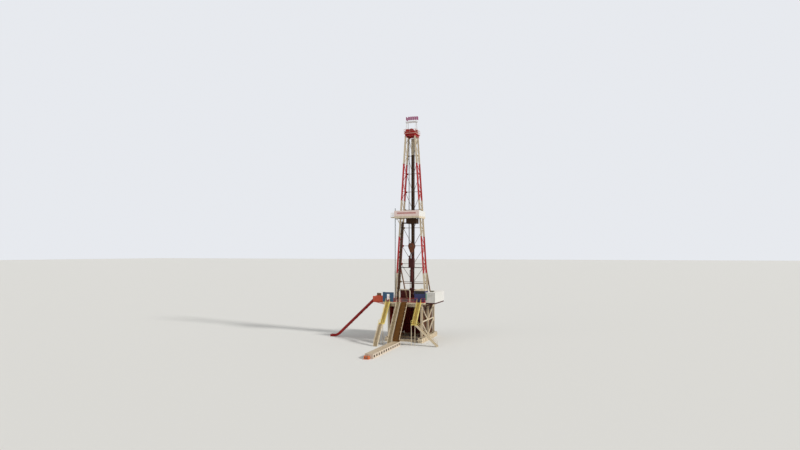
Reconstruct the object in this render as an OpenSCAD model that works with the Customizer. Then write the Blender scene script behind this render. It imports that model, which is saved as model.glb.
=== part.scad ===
// Land drilling rig with a front-open mast, as a 1:2 scale model.
// Every size is in model millimetres, half the full-size rig's.
// The origin is the centre of the rotary table at drill floor level:
// X to the right as seen from the catwalk, Y to the rear, Z up.

/* [Drill floor] */
// Height of the drill floor above the ground
floor_h = 5250; // [4900:10:5600]
// Floor edge left of the well
floor_left = 3100; // [3050:10:3300]
// Floor edge right of the well
floor_right = 2750; // [2720:10:2900]
// Floor edge in front of the well
floor_front = 3050; // [3000:10:3300]
// Floor edge behind the well
floor_rear = 3700; // [3650:10:4000]
// Thickness of the floor plate
floor_t = 40; // [20:1:60]
// Depth of the girders below the floor plate
girder_d = 600; // [500:10:700]
// Flange width of the girders
girder_w = 260; // [200:10:300]
// Height of the handrails
rail_h = 550; // [450:10:600]
// Thickness of handrail bars
rail_bar = 26; // [20:1:40]

/* [Rotary table] */
// Radius of the bore through the rotary table
rotary_r = 238; // [180:1:260]
// Length of the rotary table's housing across the floor
rotary_l = 1200; // [1000:10:1400]
// Width of the rotary table's housing
rotary_w = 900; // [800:10:1000]
// Height of the rotary table's housing
rotary_d = 350; // [300:10:400]
// How far the rotary table stands above the floor plate
rotary_proud = 25; // [10:1:40]

/* [Substructure] */
// Distance of each base skid's centre from the well
skid_x = 2300; // [2200:10:2400]
// Width of a base skid
skid_w = 700; // [600:10:800]
// Height of a base skid
skid_h = 600; // [500:10:700]
// Length of a base skid in front of the well
skid_front = 3550; // [3400:10:3700]
// Length of a base skid behind the well
skid_rear = 3650; // [3500:10:3800]
// Width of the columns
column_w = 260; // [200:10:300]
// Distance of the front and rear columns from the well
column_y = 2800; // [2600:10:2900]
// Thickness of the slanting braces
strut_w = 140; // [100:5:180]

/* [Mast] */
// Height of the mast above the drill floor
mast_h = 22500; // [21600:100:23400]
// Half the distance between the leg centres at the floor
foot_half = 2150; // [2100:10:2200]
// Half the distance between the leg centres at the head
head_half = 675; // [650:5:700]
// Distance between the front and rear legs
mast_depth = 1300; // [1250:10:1350]
// Outer size of the H-section legs
leg_w = 190; // [160:5:210]
// Thickness of the legs' flanges and webs
leg_t = 16; // [12:1:20]
// Thickness of the mast's brace bars
brace_w = 60; // [40:5:70]
// Diameter of the pins in the mast shoes
shoe_pin_d = 90; // [60:2:110]
// Height above the floor at which the rear raking legs meet the mast
rake_h = 4400; // [4000:50:4800]
// Distance behind the well at which the rear raking legs stand
rake_y = 3300; // [3200:10:3400]

/* [Monkeyboard] */
// Height of the monkeyboard's deck above the drill floor
board_z = 11450; // [11100:10:11700]
// Half the width of the monkeyboard
board_half = 1750; // [1740:10:1900]
// How far the monkeyboard reaches in front of the well
board_front = 2250; // [2000:10:2400]
// Height of the windscreen round the monkeyboard
screen_h = 750; // [600:10:900]
// Distance between the finger bars
finger_pitch = 190; // [170:5:220]

/* [Crown] */
// Half the width of the crown platform
crown_half = 850; // [820:10:900]
// Radius of the crown and travelling sheaves
sheave_r = 381; // [340:1:400]
// Number of sheaves in the crown's main cluster
sheave_n = 6; // [4:1:6]
// Distance between neighbouring sheaves
sheave_pitch = 76; // [70:1:80]
// Height of the lifting frame above the crown platform
lift_h = 1800; // [1500:10:2000]

/* [Travelling gear] */
// Height of the travelling sheaves' axle above the drill floor
block_z = 7450; // [7000:10:7900]
// Width of the travelling block's cheek plates
block_w = 900; // [860:10:960]
// Radius of the drilling line
line_r = 9.5; // [7:0.5:11]
// Half the distance between the guide rails
guide_half = 170; // [150:5:200]
// Thickness of a guide rail
guide_w = 90; // [70:5:100]

/* [Ramp, stairs and slide] */
// Width of the V-door ramp
ramp_w = 850; // [700:10:900]
// Slope of the V-door ramp
ramp_a = 54; // [50:1:58]
// Width of the stairs
stair_w = 550; // [450:10:600]
// Slope of the stairs
stair_a = 52; // [46:1:56]
// Slope of the right stair's lower flight
lower_a = 42; // [38:1:48]
// Height of one step
step_h = 105; // [90:1:120]
// Inner radius of the escape slide's half pipe
slide_r = 225; // [180:5:260]
// Slope of the escape slide
slide_a = 43; // [38:1:46]
// Height of the escape slide's sides above its half pipe
slide_side = 90; // [40:5:140]

/* [Catwalk] */
// Length of the catwalk
catwalk_l = 9000; // [7000:50:10000]
// Width of the catwalk
catwalk_w = 1000; // [950:10:1200]
// Height of the catwalk
catwalk_h = 535; // [450:5:600]

/* [Cabins] */
// Width of the doghouse across the floor
dog_w = 1300; // [1200:10:1500]
// Length of the doghouse
dog_l = 4500; // [4000:10:4700]
// Height of the doghouse
dog_h = 1250; // [1150:10:1350]
// Width of the driller's cabin
cabin_w = 1500; // [1400:10:1560]
// Length of the driller's cabin
cabin_l = 1300; // [1200:10:1400]
// Height of the driller's cabin
cabin_h = 1600; // [1550:10:1700]
// Thickness of the cabins' and wind walls' panels
panel_t = 50; // [30:1:60]

/* [Hidden] */
$fn = 32;

cream = [0.87, 0.81, 0.66];
red = [0.72, 0.10, 0.07];
blue = [0.10, 0.16, 0.45];
yellow = [0.90, 0.82, 0.42];
white = [0.93, 0.93, 0.90];
steel = [0.35, 0.33, 0.32];
rust = [0.42, 0.24, 0.10];
maroon = [0.36, 0.11, 0.08];
glass = [0.10, 0.12, 0.14];

ground_z = -floor_h;
girder_top = -floor_t;
girder_bottom = girder_top - girder_d;
column_h = floor_h - skid_h - floor_t - girder_d;
column_t = 18;          // flanges and webs of the columns
fit = 0.3;              // gap between pieces that seat on each other
run_gap = 5;            // gap beside a piece that moves
plate_t = 20;           // base and splice plates
plate_lip = 40;         // how far the columns' end plates stand out round them
panel_h = mast_h / 9;   // height between the mast's horizontals
taper = atan((foot_half - head_half) / mast_h);
joints = [0, 1.5, 3.5, 5.5, 7.5, 9];
foot_z = plate_t + 30;
shoe_pin_z = 170;

function leg_x(z) = foot_half - (foot_half - head_half) * z / mast_h;
function along(z) = z / cos(taper);

// H section, w wide across X and d deep across Y
module h_section(w, d, t)
    polygon([
        [-w / 2, -d / 2], [w / 2, -d / 2], [w / 2, t - d / 2], [t / 2, t - d / 2],
        [t / 2, d / 2 - t], [w / 2, d / 2 - t], [w / 2, d / 2], [-w / 2, d / 2],
        [-w / 2, d / 2 - t], [-t / 2, d / 2 - t], [-t / 2, t - d / 2], [-w / 2, t - d / 2],
    ]);

// I beam along X from the origin, centred on Y, its top at z = 0
module beam_x(len, w, d, t = 16)
    translate([0, 0, -d / 2]) rotate([90, 0, 90]) linear_extrude(len) h_section(w, d, t);

// I beam along Y from the origin, centred on X, its top at z = 0
module beam_y(len, w, d, t = 16)
    translate([0, 0, -d / 2]) rotate([-90, 0, 0]) linear_extrude(len) h_section(w, d, t);

// Square bar from point p to point q
module bar(p, q, w) {
    v = q - p;
    translate(p)
        rotate([0, acos(v.z / norm(v)), atan2(v.y, v.x)])
        linear_extrude(norm(v)) square(w, center = true);
}

// Round bar from point p to point q
module rod(p, q, r) {
    v = q - p;
    translate(p)
        rotate([0, acos(v.z / norm(v)), atan2(v.y, v.x)])
        cylinder(h = norm(v), r = r);
}

module mirrored() {
    children();
    mirror([1, 0, 0]) children();
}

// Handrail along X from the origin, its outer face on Y = 0, standing on z = 0
module railing(len, h = rail_h) {
    n = max(1, round(len / 700));
    for (i = [0 : n])
        translate([i * (len - rail_bar) / n, 0, 0]) cube([rail_bar, rail_bar, h]);
    for (z = [h / 2, h - rail_bar])
        translate([0, 0, z]) cube([len, rail_bar, rail_bar]);
    cube([len, 8, 90]);
}

// Substructure

skid_beam_w = 180;      // flange width of the skids' beams
skid_beam_x = (skid_w - skid_beam_w) / 2;
tie_x = skid_x - skid_w / 2;
skid_rib_t = 40;
skid_pipe_r = 90;       // pipes across the skids' ends
tie_w = 200;            // beams between the skids
tie_d = 300;
rows = [-column_y, 0, column_y];

module base_skid() {
    len = skid_front + skid_rear;
    for (x = [-1, 1] * skid_beam_x)
        translate([skid_x + x, -skid_front, ground_z + skid_h]) beam_y(len, skid_beam_w, skid_h);
    for (y = [0 : len / 8 : len])
        translate([skid_x, y - skid_front, ground_z + skid_h / 2])
            cube([2 * skid_beam_x, skid_rib_t, skid_h - 30], center = true);
    for (y = rows)
        translate([skid_x, y, ground_z + skid_h - plate_t / 2])
            cube([2 * skid_beam_x, column_w + 120, plate_t], center = true);
    for (y = [-skid_front, skid_rear])
        translate([skid_x - skid_w / 2, y, ground_z + skid_h / 2])
            rotate([0, 90, 0]) cylinder(h = skid_w, r = skid_pipe_r);
}
module base_frame() color(cream) {
    mirrored() base_skid();
    web_x = skid_x - skid_beam_x;
    for (y = rows)
        translate([-web_x, y, ground_z + tie_d]) beam_x(2 * web_x, tie_w, tie_d);
}

module side_frame() {
    bottom = ground_z + skid_h;
    flange_in = (column_w - column_t) / 2;
    for (y = [-column_y, 0, column_y]) {
        translate([skid_x, y, bottom]) linear_extrude(column_h)
            h_section(column_w, column_w, column_t);
        plate_w = column_w + 2 * plate_lip;
        for (z = [bottom, girder_bottom - plate_t])
            translate([skid_x, y, z + plate_t / 2])
                cube([plate_w, plate_w, plate_t], center = true);
    }
    for (s = [-1, 1]) {
        translate([skid_x - strut_w / 2, s > 0 ? 0 : -column_y, bottom + column_h / 2])
            cube([strut_w, column_y, strut_w]);
        for (top = [0, 1])
            bar([skid_x, s * (column_y - flange_in), bottom + (0.5 + top * 0.5) * column_h - 60],
                [skid_x, s * flange_in, bottom + top * 0.5 * column_h + 60], strut_w - 16);
    }
}

module side_frames() color(cream) mirrored() side_frame();

module rear_bracing() color(cream) {
    brace_x = skid_x - column_t / 2;
    w = strut_w - 20;
    z0 = ground_z + skid_h + 200;
    z1 = girder_bottom - 200;
    intersection() {
        union() {
            for (s = [-1, 1])
                bar([s * skid_x, column_y, z0], [-s * skid_x, column_y, z1], w);
            for (z = [z0, z1])
                bar([-skid_x, column_y, z], [skid_x, column_y, z], w);
        }
        translate([0, column_y, (z0 + z1) / 2])
            cube([2 * brace_x, 2 * strut_w, 2 * (z1 - z0)], center = true);
    }
}

screen_t = 35;          // thickness of the substructure's panels
screen_rib = 60;
screen_x = skid_x - column_w / 2 - plate_lip - run_gap;

// Ribbed panel along X from the origin, its ribs on the side of -Y
module cellar_panel(len, h) {
    cube([len, screen_t, h]);
    n = round(len / 500);
    for (i = [0 : n])
        translate([i * (len - screen_rib) / n, -20, 0]) cube([screen_rib, screen_t + 20, h]);
}

// Panels that close the space under the floor at its rear and sides
module substructure_screen() color(maroon) {
    rear_h = girder_bottom - ground_z - tie_d - 2 * fit;
    side_h = girder_bottom - ground_z - skid_h - 2 * fit;
    half = tie_x - run_gap;
    translate([-half, column_y - tie_w / 2, ground_z + tie_d + fit])
        cellar_panel(2 * half, rear_h);
    mirrored() translate([screen_t - screen_x, -column_y, ground_z + skid_h + fit])
        rotate([0, 0, 90]) cellar_panel(2 * column_y - tie_w / 2, side_h);
}

rotary_seat = rotary_proud - rotary_d;

module floor_girders() color(cream) {
    mirrored() translate([skid_x, -floor_front, girder_top])
        beam_y(floor_front + floor_rear, girder_w, girder_d, 20);
    span = 2 * skid_x;
    for (y = [-column_y, -rotary_w, rotary_w, column_y])
        translate([-skid_x, y, girder_top]) beam_x(span, 200, girder_d);
    for (y = [-1, 1] * (rotary_w / 2 - 110))
        translate([-skid_x, y, rotary_seat]) beam_x(span, 180, rotary_seat - girder_bottom);
    for (y = [-floor_front, floor_rear - 40])
        translate([-floor_left, y, girder_top - 200])
            cube([floor_left + floor_right, 40, 200]);
    for (x = [-floor_left, floor_right - 40])
        translate([x, -floor_front, girder_top - 200])
            cube([40, floor_front + floor_rear, 200]);
    for (y = [-column_y, 0, column_y]) {
        translate([-floor_left + 20, y, girder_top])
            beam_x(floor_left - skid_x - 20, 120, 200, 12);
        translate([skid_x, y, girder_top]) beam_x(floor_right - skid_x - 20, 120, 200, 12);
    }
}

// Drill floor

module drill_floor() color(maroon)
    difference() {
        translate([-floor_left, -floor_front, -floor_t])
            cube([floor_left + floor_right, floor_front + floor_rear, floor_t]);
        translate([0, 0, -floor_t / 2])
            cube([rotary_l + 2 * fit, rotary_w + 2 * fit, 2 * floor_t], center = true);
    }

module rotary_table() color(steel)
    difference() {
        union() {
            translate([-rotary_l / 2, -rotary_w / 2, rotary_seat])
                cube([rotary_l, rotary_w, rotary_d - 15]);
            translate([0, 0, rotary_seat]) cylinder(h = rotary_d, r = rotary_w / 2 - 40);
        }
        translate([0, 0, rotary_seat - 1]) cylinder(h = rotary_d + 2, r = rotary_r);
    }

door_half = 800;        // half the width of the V-door
door_h = 1700;          // height of the V-door portal
portal_w = 110;         // thickness of the portal's frame
wall_h = 1250;          // height of the wind walls
wall_front = 1550;      // right end of the left wind wall, left of the well
stair_door_w = 380;     // doorway in the wind wall at the left stair's head
rear_wall_x = -2950;    // left end of the rear wind wall
rear_wall_l = 4200;     // length of the rear wind wall
left_stair_x = -2600;
right_stair_x = 1750;
platform_l = 1650;      // length of the escape platform
platform_w = 1000;
platform_y = -2000;     // centre of the escape platform
dog_front = -2500;
door_w = 450;           // doorways of the cabins
door_top = 1000;
cabin_x = floor_right - 100 - cabin_w;

module floor_railing() color(red) {
    gate = ramp_w / 2 + 60;
    board_end = door_half - portal_w - gate;
    translate([-wall_front + fit, -floor_front, 0])
        railing(wall_front + ramp_stair_x - fit - run_gap);
    for (x = [-door_half + portal_w, gate])
        translate([x, -floor_front, 0]) railing(board_end);
    translate([door_half, -floor_front, 0]) railing(right_stair_x - door_half);
    translate([right_stair_x + stair_w, -floor_front, 0])
        railing(floor_right - right_stair_x - stair_w);
    translate([floor_right, -floor_front, 0])
        rotate([0, 0, 90]) railing(floor_front + dog_front - run_gap);
    translate([floor_right, dog_front + dog_l + run_gap, 0])
        rotate([0, 0, 90]) railing(floor_rear - dog_front - dog_l - run_gap);
    translate([-floor_left, floor_rear, 0])
        rotate([0, 0, -90]) railing(floor_rear - platform_y - platform_w / 2 - run_gap);
    translate([floor_right, floor_rear, 0])
        rotate([0, 0, 180]) railing(floor_right - rear_wall_x - rear_wall_l - run_gap);
}

// Ribbed panel along X from the origin
module ribbed_wall(len, h) {
    cube([len, panel_t, h]);
    n = round(len / 260);
    for (i = [0 : n])
        translate([i * (len - 40) / n, -18, 0]) cube([40, panel_t + 36, h]);
    translate([0, -18, h - 50]) cube([len, panel_t + 36, 50]);
}

module wind_wall_left() color(blue) {
    side = floor_front + platform_y - platform_w / 2 - run_gap;
    difference() {
        translate([-floor_left, -floor_front + 20, 0])
            ribbed_wall(floor_left - wall_front, wall_h);
        translate([left_stair_x + (stair_w - stair_door_w) / 2, -floor_front - 20, -1])
            cube([stair_door_w, 200, door_top + 1]);
    }
    translate([-floor_left + 20, -floor_front + 20, 0])
        rotate([0, 0, 90]) mirror([0, 1, 0]) ribbed_wall(side - 20, wall_h);
}

module rear_wind_wall() color(maroon)
    translate([rear_wall_x, floor_rear - panel_t - 20, 0]) ribbed_wall(rear_wall_l, wall_h);

portal_r = 350;         // outer radius of the portal's corners

// Rectangle of half width w and height h on the X axis, its upper corners rounded by r
module portal_shape(w, h, r) {
    translate([-w, 0]) square([2 * w, h - r]);
    translate([r - w, 0]) square([2 * (w - r), h]);
    for (s = [-1, 1])
        translate([s * (w - r), h - r]) circle(r);
}

module v_door_frame() color(cream)
    translate([0, -floor_front + portal_w / 2, 0]) rotate([90, 0, 0])
    linear_extrude(portal_w, center = true)
        difference() {
            portal_shape(door_half, door_h, portal_r);
            translate([0, -1])
                portal_shape(door_half - portal_w, door_h - portal_w + 1, portal_r - portal_w);
        }

// Ramp, stairs and slide

stringer_t = 24;
stringer_d = 160;
tread_d = 150;
tread_t = 24;
ramp_t = 30;            // plate of the ramp
half_rise = floor_h / 2;
landing_l = 560;        // length of the stairs' landings
landing_lap = 60;       // how far a landing reaches under the flight above it
landing_in = 3;         // how far a landing stands in from the flights' stringers
landing_leg = 60;       // thickness of the landings' legs
catwalk_rub = 30;       // how far the catwalk's edge rails stand out
ramp_stair_x = -catwalk_w / 2 - catwalk_rub - run_gap - 2 - stair_w;
ramp_rise = floor_h - catwalk_h;
ramp_run = ramp_rise / tan(ramp_a);

// Stair along -Y from the origin, rise down at angle a, its treads between x = 0 and stair_w
module flight(rise, a) {
    run = rise / tan(a);
    n = round(rise / step_h);
    len = norm([rise, run]) + 2 * stringer_d;
    intersection() {
        for (x = [0, stair_w - stringer_t])
            translate([x, 0, 0]) rotate([a, 0, 0])
                translate([0, stringer_d - len, -stringer_d / 2])
                cube([stringer_t, len, stringer_d]);
        translate([0, -run, -rise]) cube([stair_w, run, rise + stringer_t]);
    }
    for (i = [1 : n - 1])
        translate([stringer_t / 2, -run * i / n - tread_d / 2, -rise * i / n - tread_t])
            cube([stair_w - stringer_t, tread_d, tread_t]);
    posts = max(2, round(len / 900));
    for (x = [stringer_t / 2, stair_w - stringer_t / 2]) {
        for (i = [0 : posts]) {
            t = 0.04 + 0.92 * i / posts;
            translate([x, -run * t, rail_h / 2 - rise * t])
                cube([rail_bar, rail_bar, rail_h + 60], center = true);
        }
        for (h = [rail_h / 2, rail_h])
            bar([x, -run * 0.04, h - rise * 0.04], [x, -run * 0.96, h - rise * 0.96], rail_bar - 4);
    }
}

// Landing of width w along X and length len along -Y, its top at z = 0, with legs h long.
// It reaches under the foot of the flight that comes down to it.
module landing(w, len, h) {
    full = len + landing_lap;
    translate([landing_in, -len, -tread_t]) cube([w - 2 * landing_in, full, tread_t]);
    for (x = [landing_in, w - landing_in - stringer_t])
        translate([x, -len, -stringer_d]) cube([stringer_t, full, stringer_d]);
    for (x = [landing_in, w - landing_in - landing_leg])
        translate([x, -len + 40, -h]) cube([landing_leg, landing_leg, h - tread_t / 2]);
}

module v_door_ramp() color(rust) translate([0, -floor_front, 0]) {
    len = norm([ramp_rise, ramp_run]) + 400;
    curb = 80;
    intersection() {
        rotate([ramp_a, 0, 0]) {
            translate([-ramp_w / 2, 200 - len, -ramp_t]) cube([ramp_w, len, ramp_t]);
            for (x = [-ramp_w / 2, ramp_w / 2 - 50])
                translate([x, 200 - len, -200]) cube([50, len, 200 + curb]);
            for (y = [600 : 600 : len - 700])
                translate([-ramp_w / 2 + 20, -y, -160]) cube([ramp_w - 40, 80, 150]);
        }
        translate([-ramp_w, -ramp_run, -ramp_rise])
            cube([2 * ramp_w, ramp_run, ramp_rise]);
    }
    for (t = [0.12 : 0.19 : 0.9])
        translate([ramp_w / 2 - 45, -ramp_run * t, -ramp_rise * t]) cube([40, 40, 330]);
}

module ramp_stair() color(cream)
    translate([ramp_stair_x, -floor_front, 0]) flight(floor_h, ramp_a);

// Stair of two flights in line, from the floor's edge down along -Y
module left_stair() {
    run = half_rise / tan(stair_a);
    flight(half_rise, stair_a);
    translate([0, -run, -half_rise]) landing(stair_w, landing_l, half_rise);
    for (x = [landing_in, stair_w - landing_in - rail_bar])
        translate([x, -run, -half_rise]) rotate([0, 0, -90]) railing(landing_l);
    translate([0, -run - landing_l, -half_rise]) flight(half_rise, stair_a);
}

// Stair whose lower flight turns off to the right
module right_stair() {
    run = half_rise / tan(stair_a);
    flight(half_rise, stair_a);
    translate([0, -run, -half_rise]) {
        landing(stair_w, stair_w + 3 * landing_in, half_rise);
        translate([landing_in, -stair_w - 3 * landing_in, 0]) railing(stair_w - 2 * landing_in);
        translate([landing_in, -landing_in, 0]) rotate([0, 0, -90]) railing(stair_w);
        translate([stair_w - landing_in, -stair_w - 2 * landing_in, 0])
            rotate([0, 0, 90]) flight(half_rise, lower_a);
    }
}

module side_stairs() color(yellow) {
    translate([left_stair_x, -floor_front, 0]) left_stair();
    translate([right_stair_x, -floor_front, 0]) right_stair();
}

slide_t = 14;           // thickness of the slide's shell
slide_lip = 50;         // flanges along its edges
slide_bend = 1500;      // radius of the bend at the slide's foot
slide_flat = 400;       // level stretch at the slide's foot

side_h = 650;           // panels beside the escape platform
side_t = 30;
hood_h = 1000;          // taller stretch of the rear panel
hood_l = 650;

module escape_platform() color(red) {
    x0 = -floor_left - platform_l;
    y0 = platform_y - platform_w / 2;
    translate([x0, y0, -floor_t]) cube([platform_l, platform_w, floor_t]);
    for (y = [y0, y0 + platform_w - side_t])
        translate([x0, y, 0]) {
            cube([platform_l, side_t, side_h]);
            for (i = [0 : 4])
                translate([i * (platform_l - 40) / 4, -15, 0]) cube([40, side_t + 30, side_h]);
        }
    translate([x0 + 200, y0 + platform_w - side_t, 0]) cube([hood_l, side_t, hood_h]);
    for (y = [y0 + 100, y0 + platform_w - 100]) {
        translate([x0, y, -floor_t]) beam_x(platform_l, 100, 160, 12);
        bar([x0 + 350, y, -floor_t - 120], [-skid_x - girder_w / 2 - 60, y, girder_bottom + 100], 80);
        translate([-skid_x - girder_w / 2 - 60, y - 60, girder_bottom]) cube([60, 120, 220]);
    }
}

module slide_section() {
    difference() {
        circle(slide_r + slide_t);
        circle(slide_r);
        translate([-2 * slide_r, 0]) square([4 * slide_r, 2 * slide_r]);
    }
    for (s = [-1, 1]) {
        translate([s * (slide_r + slide_t / 2), slide_side / 2 - 1])
            square([slide_t, slide_side], center = true);
        translate([s * (slide_r + slide_lip / 2), slide_side - slide_t / 2])
            square([slide_lip, slide_t], center = true);
    }
}

module escape_slide() color(red) translate([-floor_left - platform_l, platform_y, 0])
    rotate([0, 0, -90]) {
        top_z = slide_r;
        foot_axis = ground_z + slide_r + slide_t;
        drop = top_z - foot_axis - slide_bend * (1 - cos(slide_a));
        run = drop / tan(slide_a);
        bend_y = -run - slide_bend * sin(slide_a);
        intersection() {
            translate([0, 0, top_z]) rotate([slide_a, 0, 0]) translate([0, 300, 0])
                rotate([90, 0, 0]) linear_extrude(300 + drop / sin(slide_a)) slide_section();
            translate([-600, bend_y, ground_z]) cube([1200, -bend_y, 2 * floor_h]);
        }
        translate([0, bend_y, foot_axis + slide_bend]) rotate([0, 90, 0])
            rotate_extrude(angle = slide_a) translate([slide_bend, 0]) rotate(90) slide_section();
        translate([0, bend_y, foot_axis]) rotate([90, 0, 0])
            linear_extrude(slide_flat) slide_section();
        difference() {
            translate([-slide_r, bend_y - slide_flat, ground_z])
                cube([2 * slide_r, 60, slide_r]);
            translate([0, bend_y - slide_flat - 1, foot_axis]) rotate([-90, 0, 0])
                cylinder(h = 62, r = slide_r + slide_t / 2);
        }
    }

catwalk_rear = -floor_front - ramp_run + 300;

catwalk_wall = 30;      // plates of the catwalk
catwalk_post = 60;      // cross walls between its bays
window_w = 400;         // openings in its sides
window_z = 130;
edge_d = 45;            // depth of its edge rails

module catwalk() color(cream) {
    bays = 12;
    bay = catwalk_l / bays;
    inner_w = catwalk_w - 2 * catwalk_wall;
    translate([0, catwalk_rear - catwalk_l, ground_z]) {
        difference() {
            translate([-catwalk_w / 2, 0, 0]) cube([catwalk_w, catwalk_l, catwalk_h]);
            translate([-inner_w / 2, catwalk_wall, -1])
                cube([inner_w, catwalk_l - 2 * catwalk_wall, catwalk_h + 1 - catwalk_wall]);
            for (i = [0 : bays - 1])
                translate([-catwalk_w, (i + 0.5) * bay - window_w / 2, window_z])
                    cube([2 * catwalk_w, window_w, catwalk_h - 2 * window_z]);
        }
        for (i = [1 : bays - 1])
            translate([-inner_w / 2 - 5, i * bay - catwalk_post / 2, 0])
                cube([inner_w + 10, catwalk_post, catwalk_h - catwalk_wall / 2]);
        for (x = [-catwalk_w / 2 - catwalk_rub, catwalk_w / 2 - 5])
            translate([x, 0, catwalk_h - edge_d]) cube([catwalk_rub + 5, catwalk_l, edge_d]);
    }
}

winch_w = 700;          // bed of the catwalk's winch
winch_l = 500;
winch_bed = 60;
winch_z = 270;          // height of its drum above the ground
winch_y = -winch_l / 2;

module catwalk_winch() color(red) translate([-200, catwalk_rear - catwalk_l, ground_z]) {
    translate([-winch_w / 2, -winch_l, 0]) cube([winch_w, winch_l, winch_bed]);
    for (x = [-260, 180])
        translate([x, winch_y - 150, winch_bed - 1]) cube([50, 300, winch_z + 100 - winch_bed]);
    translate([-300, winch_y, winch_z]) rotate([0, 90, 0]) cylinder(h = 620, r = 70);
    for (x = [-200, 150])
        translate([x, winch_y, winch_z]) rotate([0, 90, 0]) cylinder(h = 20, r = 150);
    translate([230, winch_y - 170, winch_bed - 1]) cube([100, 340, 300]);
}

// Cabins

dog_x = floor_right + fit;
dog_floor_t = 60;
dog_door_y = 700;       // doorway towards the drill floor
dog_window_y = 1700;    // window towards the drill floor
dog_window_l = 900;
sill_z = 640;           // foot of the doghouse's window
pane_h = 340;           // its height
pane_in = 100;          // corner posts beside the window panes

module doghouse_bracket() color(maroon) {
    arm_d = 160;
    for (y = [150, dog_l / 3, dog_l * 2 / 3, dog_l - 150]) translate([0, dog_front + y, 0]) {
        translate([dog_x, 0, -dog_floor_t]) beam_x(dog_w, 110, arm_d, 12);
        bar([dog_x + dog_w - 250, 0, -dog_floor_t - arm_d + 30],
            [skid_x + girder_w / 2 + 60, 0, girder_bottom + 100], 80);
        translate([skid_x + girder_w / 2 + fit, -60, girder_bottom]) cube([60, 120, 220]);
    }
    for (x = [dog_x + 60, dog_x + dog_w - 60])
        translate([x, dog_front, -dog_floor_t]) beam_y(dog_l, 110, arm_d, 12);
}

roof_t = 40;
roof_lip = 20;
ridge_t = 25;           // raised seams of the roof
cooler_x = 380;         // air cooler on the roof
cooler_y = 880;
cooler_w = 400;
cooler_l = 500;
cooler_h = 180;

module doghouse() color(white) translate([dog_x, dog_front, 0]) {
    difference() {
        union() {
            translate([0, 0, -dog_floor_t]) cube([dog_w, dog_l, dog_floor_t + dog_h + 1]);
            for (y = [250 : 350 : dog_l - 150])
                translate([dog_w - 5, y, 0]) cube([20, 120, dog_h + 1]);
        }
        translate([panel_t, panel_t, 0])
            cube([dog_w - 2 * panel_t, dog_l - 2 * panel_t, dog_h]);
        translate([-1, dog_door_y, 0]) cube([panel_t + 2, door_w, door_top]);
        translate([-1, dog_window_y, sill_z]) cube([panel_t + 2, dog_window_l, pane_h]);
    }
    translate([-roof_lip, -roof_lip, dog_h])
        cube([dog_w + 2 * roof_lip, dog_l + 2 * roof_lip, roof_t]);
    for (x = [250 : 300 : dog_w - 100])
        translate([x, 80, dog_h + roof_t - 5]) cube([40, dog_l - 160, ridge_t + 5]);
    translate([cooler_x, cooler_y, dog_h + roof_t - 5]) cube([cooler_w, cooler_l, cooler_h + 5]);
}

cabin_y = -floor_front + 700;
cabin_floor_t = 40;
cabin_door_y = 450;
cabin_fascia = 130;     // depth of the roof's edge
cabin_eave = 30;        // how far the roof stands out
cabin_sill = 1100;      // foot of its window panes
cabin_pane = 350;       // their height

module driller_cabin() color(blue) translate([cabin_x, cabin_y, 0])
    difference() {
        reach = panel_t + cabin_eave + 2;
        union() {
            cube([cabin_w, cabin_l, cabin_h]);
            translate([-cabin_eave, -cabin_eave, cabin_h - cabin_fascia])
                cube([cabin_w + 2 * cabin_eave, cabin_l + 2 * cabin_eave, cabin_fascia]);
        }
        translate([panel_t, panel_t, cabin_floor_t])
            cube([cabin_w - 2 * panel_t, cabin_l - 2 * panel_t, cabin_h - cabin_floor_t - panel_t]);
        translate([pane_in, -cabin_eave - 1, cabin_sill])
            cube([cabin_w - 2 * pane_in, reach, cabin_pane]);
        translate([-cabin_eave - 1, pane_in, cabin_sill])
            cube([reach, cabin_l - 2 * pane_in, cabin_pane]);
        translate([cabin_w - panel_t - 1, cabin_door_y, cabin_floor_t])
            cube([reach, door_w, door_top]);
    }

glass_t = 20;           // window panes, in the middle of the walls
glass_in = (panel_t - glass_t) / 2;

module window_glass() color(glass) {
    height = cabin_pane - 2 * fit;
    translate([cabin_x, cabin_y, cabin_sill + fit]) {
        translate([pane_in + fit, glass_in, 0])
            cube([cabin_w - 2 * (pane_in + fit), glass_t, height]);
        translate([glass_in, pane_in + fit, 0])
            cube([glass_t, cabin_l - 2 * (pane_in + fit), height]);
    }
    translate([dog_x + glass_in, dog_front + dog_window_y + fit, sill_z + fit])
        cube([glass_t, dog_window_l - 2 * fit, pane_h - 2 * fit]);
}

// Drawworks

drum_y = 2650;
drum_z = 540;
drum_r = 250;
drum_half = 520;
flange_r = 360;
flange_t = 50;
shaft_r = 75;
bed_w = 2700;           // bed under the drawworks
bed_l = 1000;
bed_t = 100;
bearing_x = drum_half + 90;
bearing_t = 120;        // frames that carry the drum's shaft
bearing_l = 840;
gearbox_x = 1050;       // housings at the ends of the bed
gearbox_w = 500;
gearbox_l = 700;
gearbox_h = 620;
guard_t = 60;           // guard behind the drum
guard_top = 850;

module drawworks_frame() color(maroon)
    difference() {
        union() {
            translate([-bed_w / 2, drum_y - bed_l * 0.6, 0]) cube([bed_w, bed_l, bed_t]);
            for (s = [-1, 1]) {
                translate([s * bearing_x - bearing_t / 2, drum_y - bearing_l / 2, bed_t - 1])
                    cube([bearing_t, bearing_l, drum_z + 180 - bed_t]);
                translate([s * gearbox_x - gearbox_w / 2, drum_y - gearbox_l / 2, bed_t - 1])
                    cube([gearbox_w, gearbox_l, gearbox_h]);
            }
            translate([-bearing_x, drum_y + bearing_l / 2 - 10, bed_t + 1])
                cube([2 * bearing_x, guard_t, guard_top - bed_t]);
        }
        translate([-bearing_x - bearing_t, drum_y, drum_z]) rotate([0, 90, 0])
            cylinder(h = 2 * (bearing_x + bearing_t), r = shaft_r + fit);
    }

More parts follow.
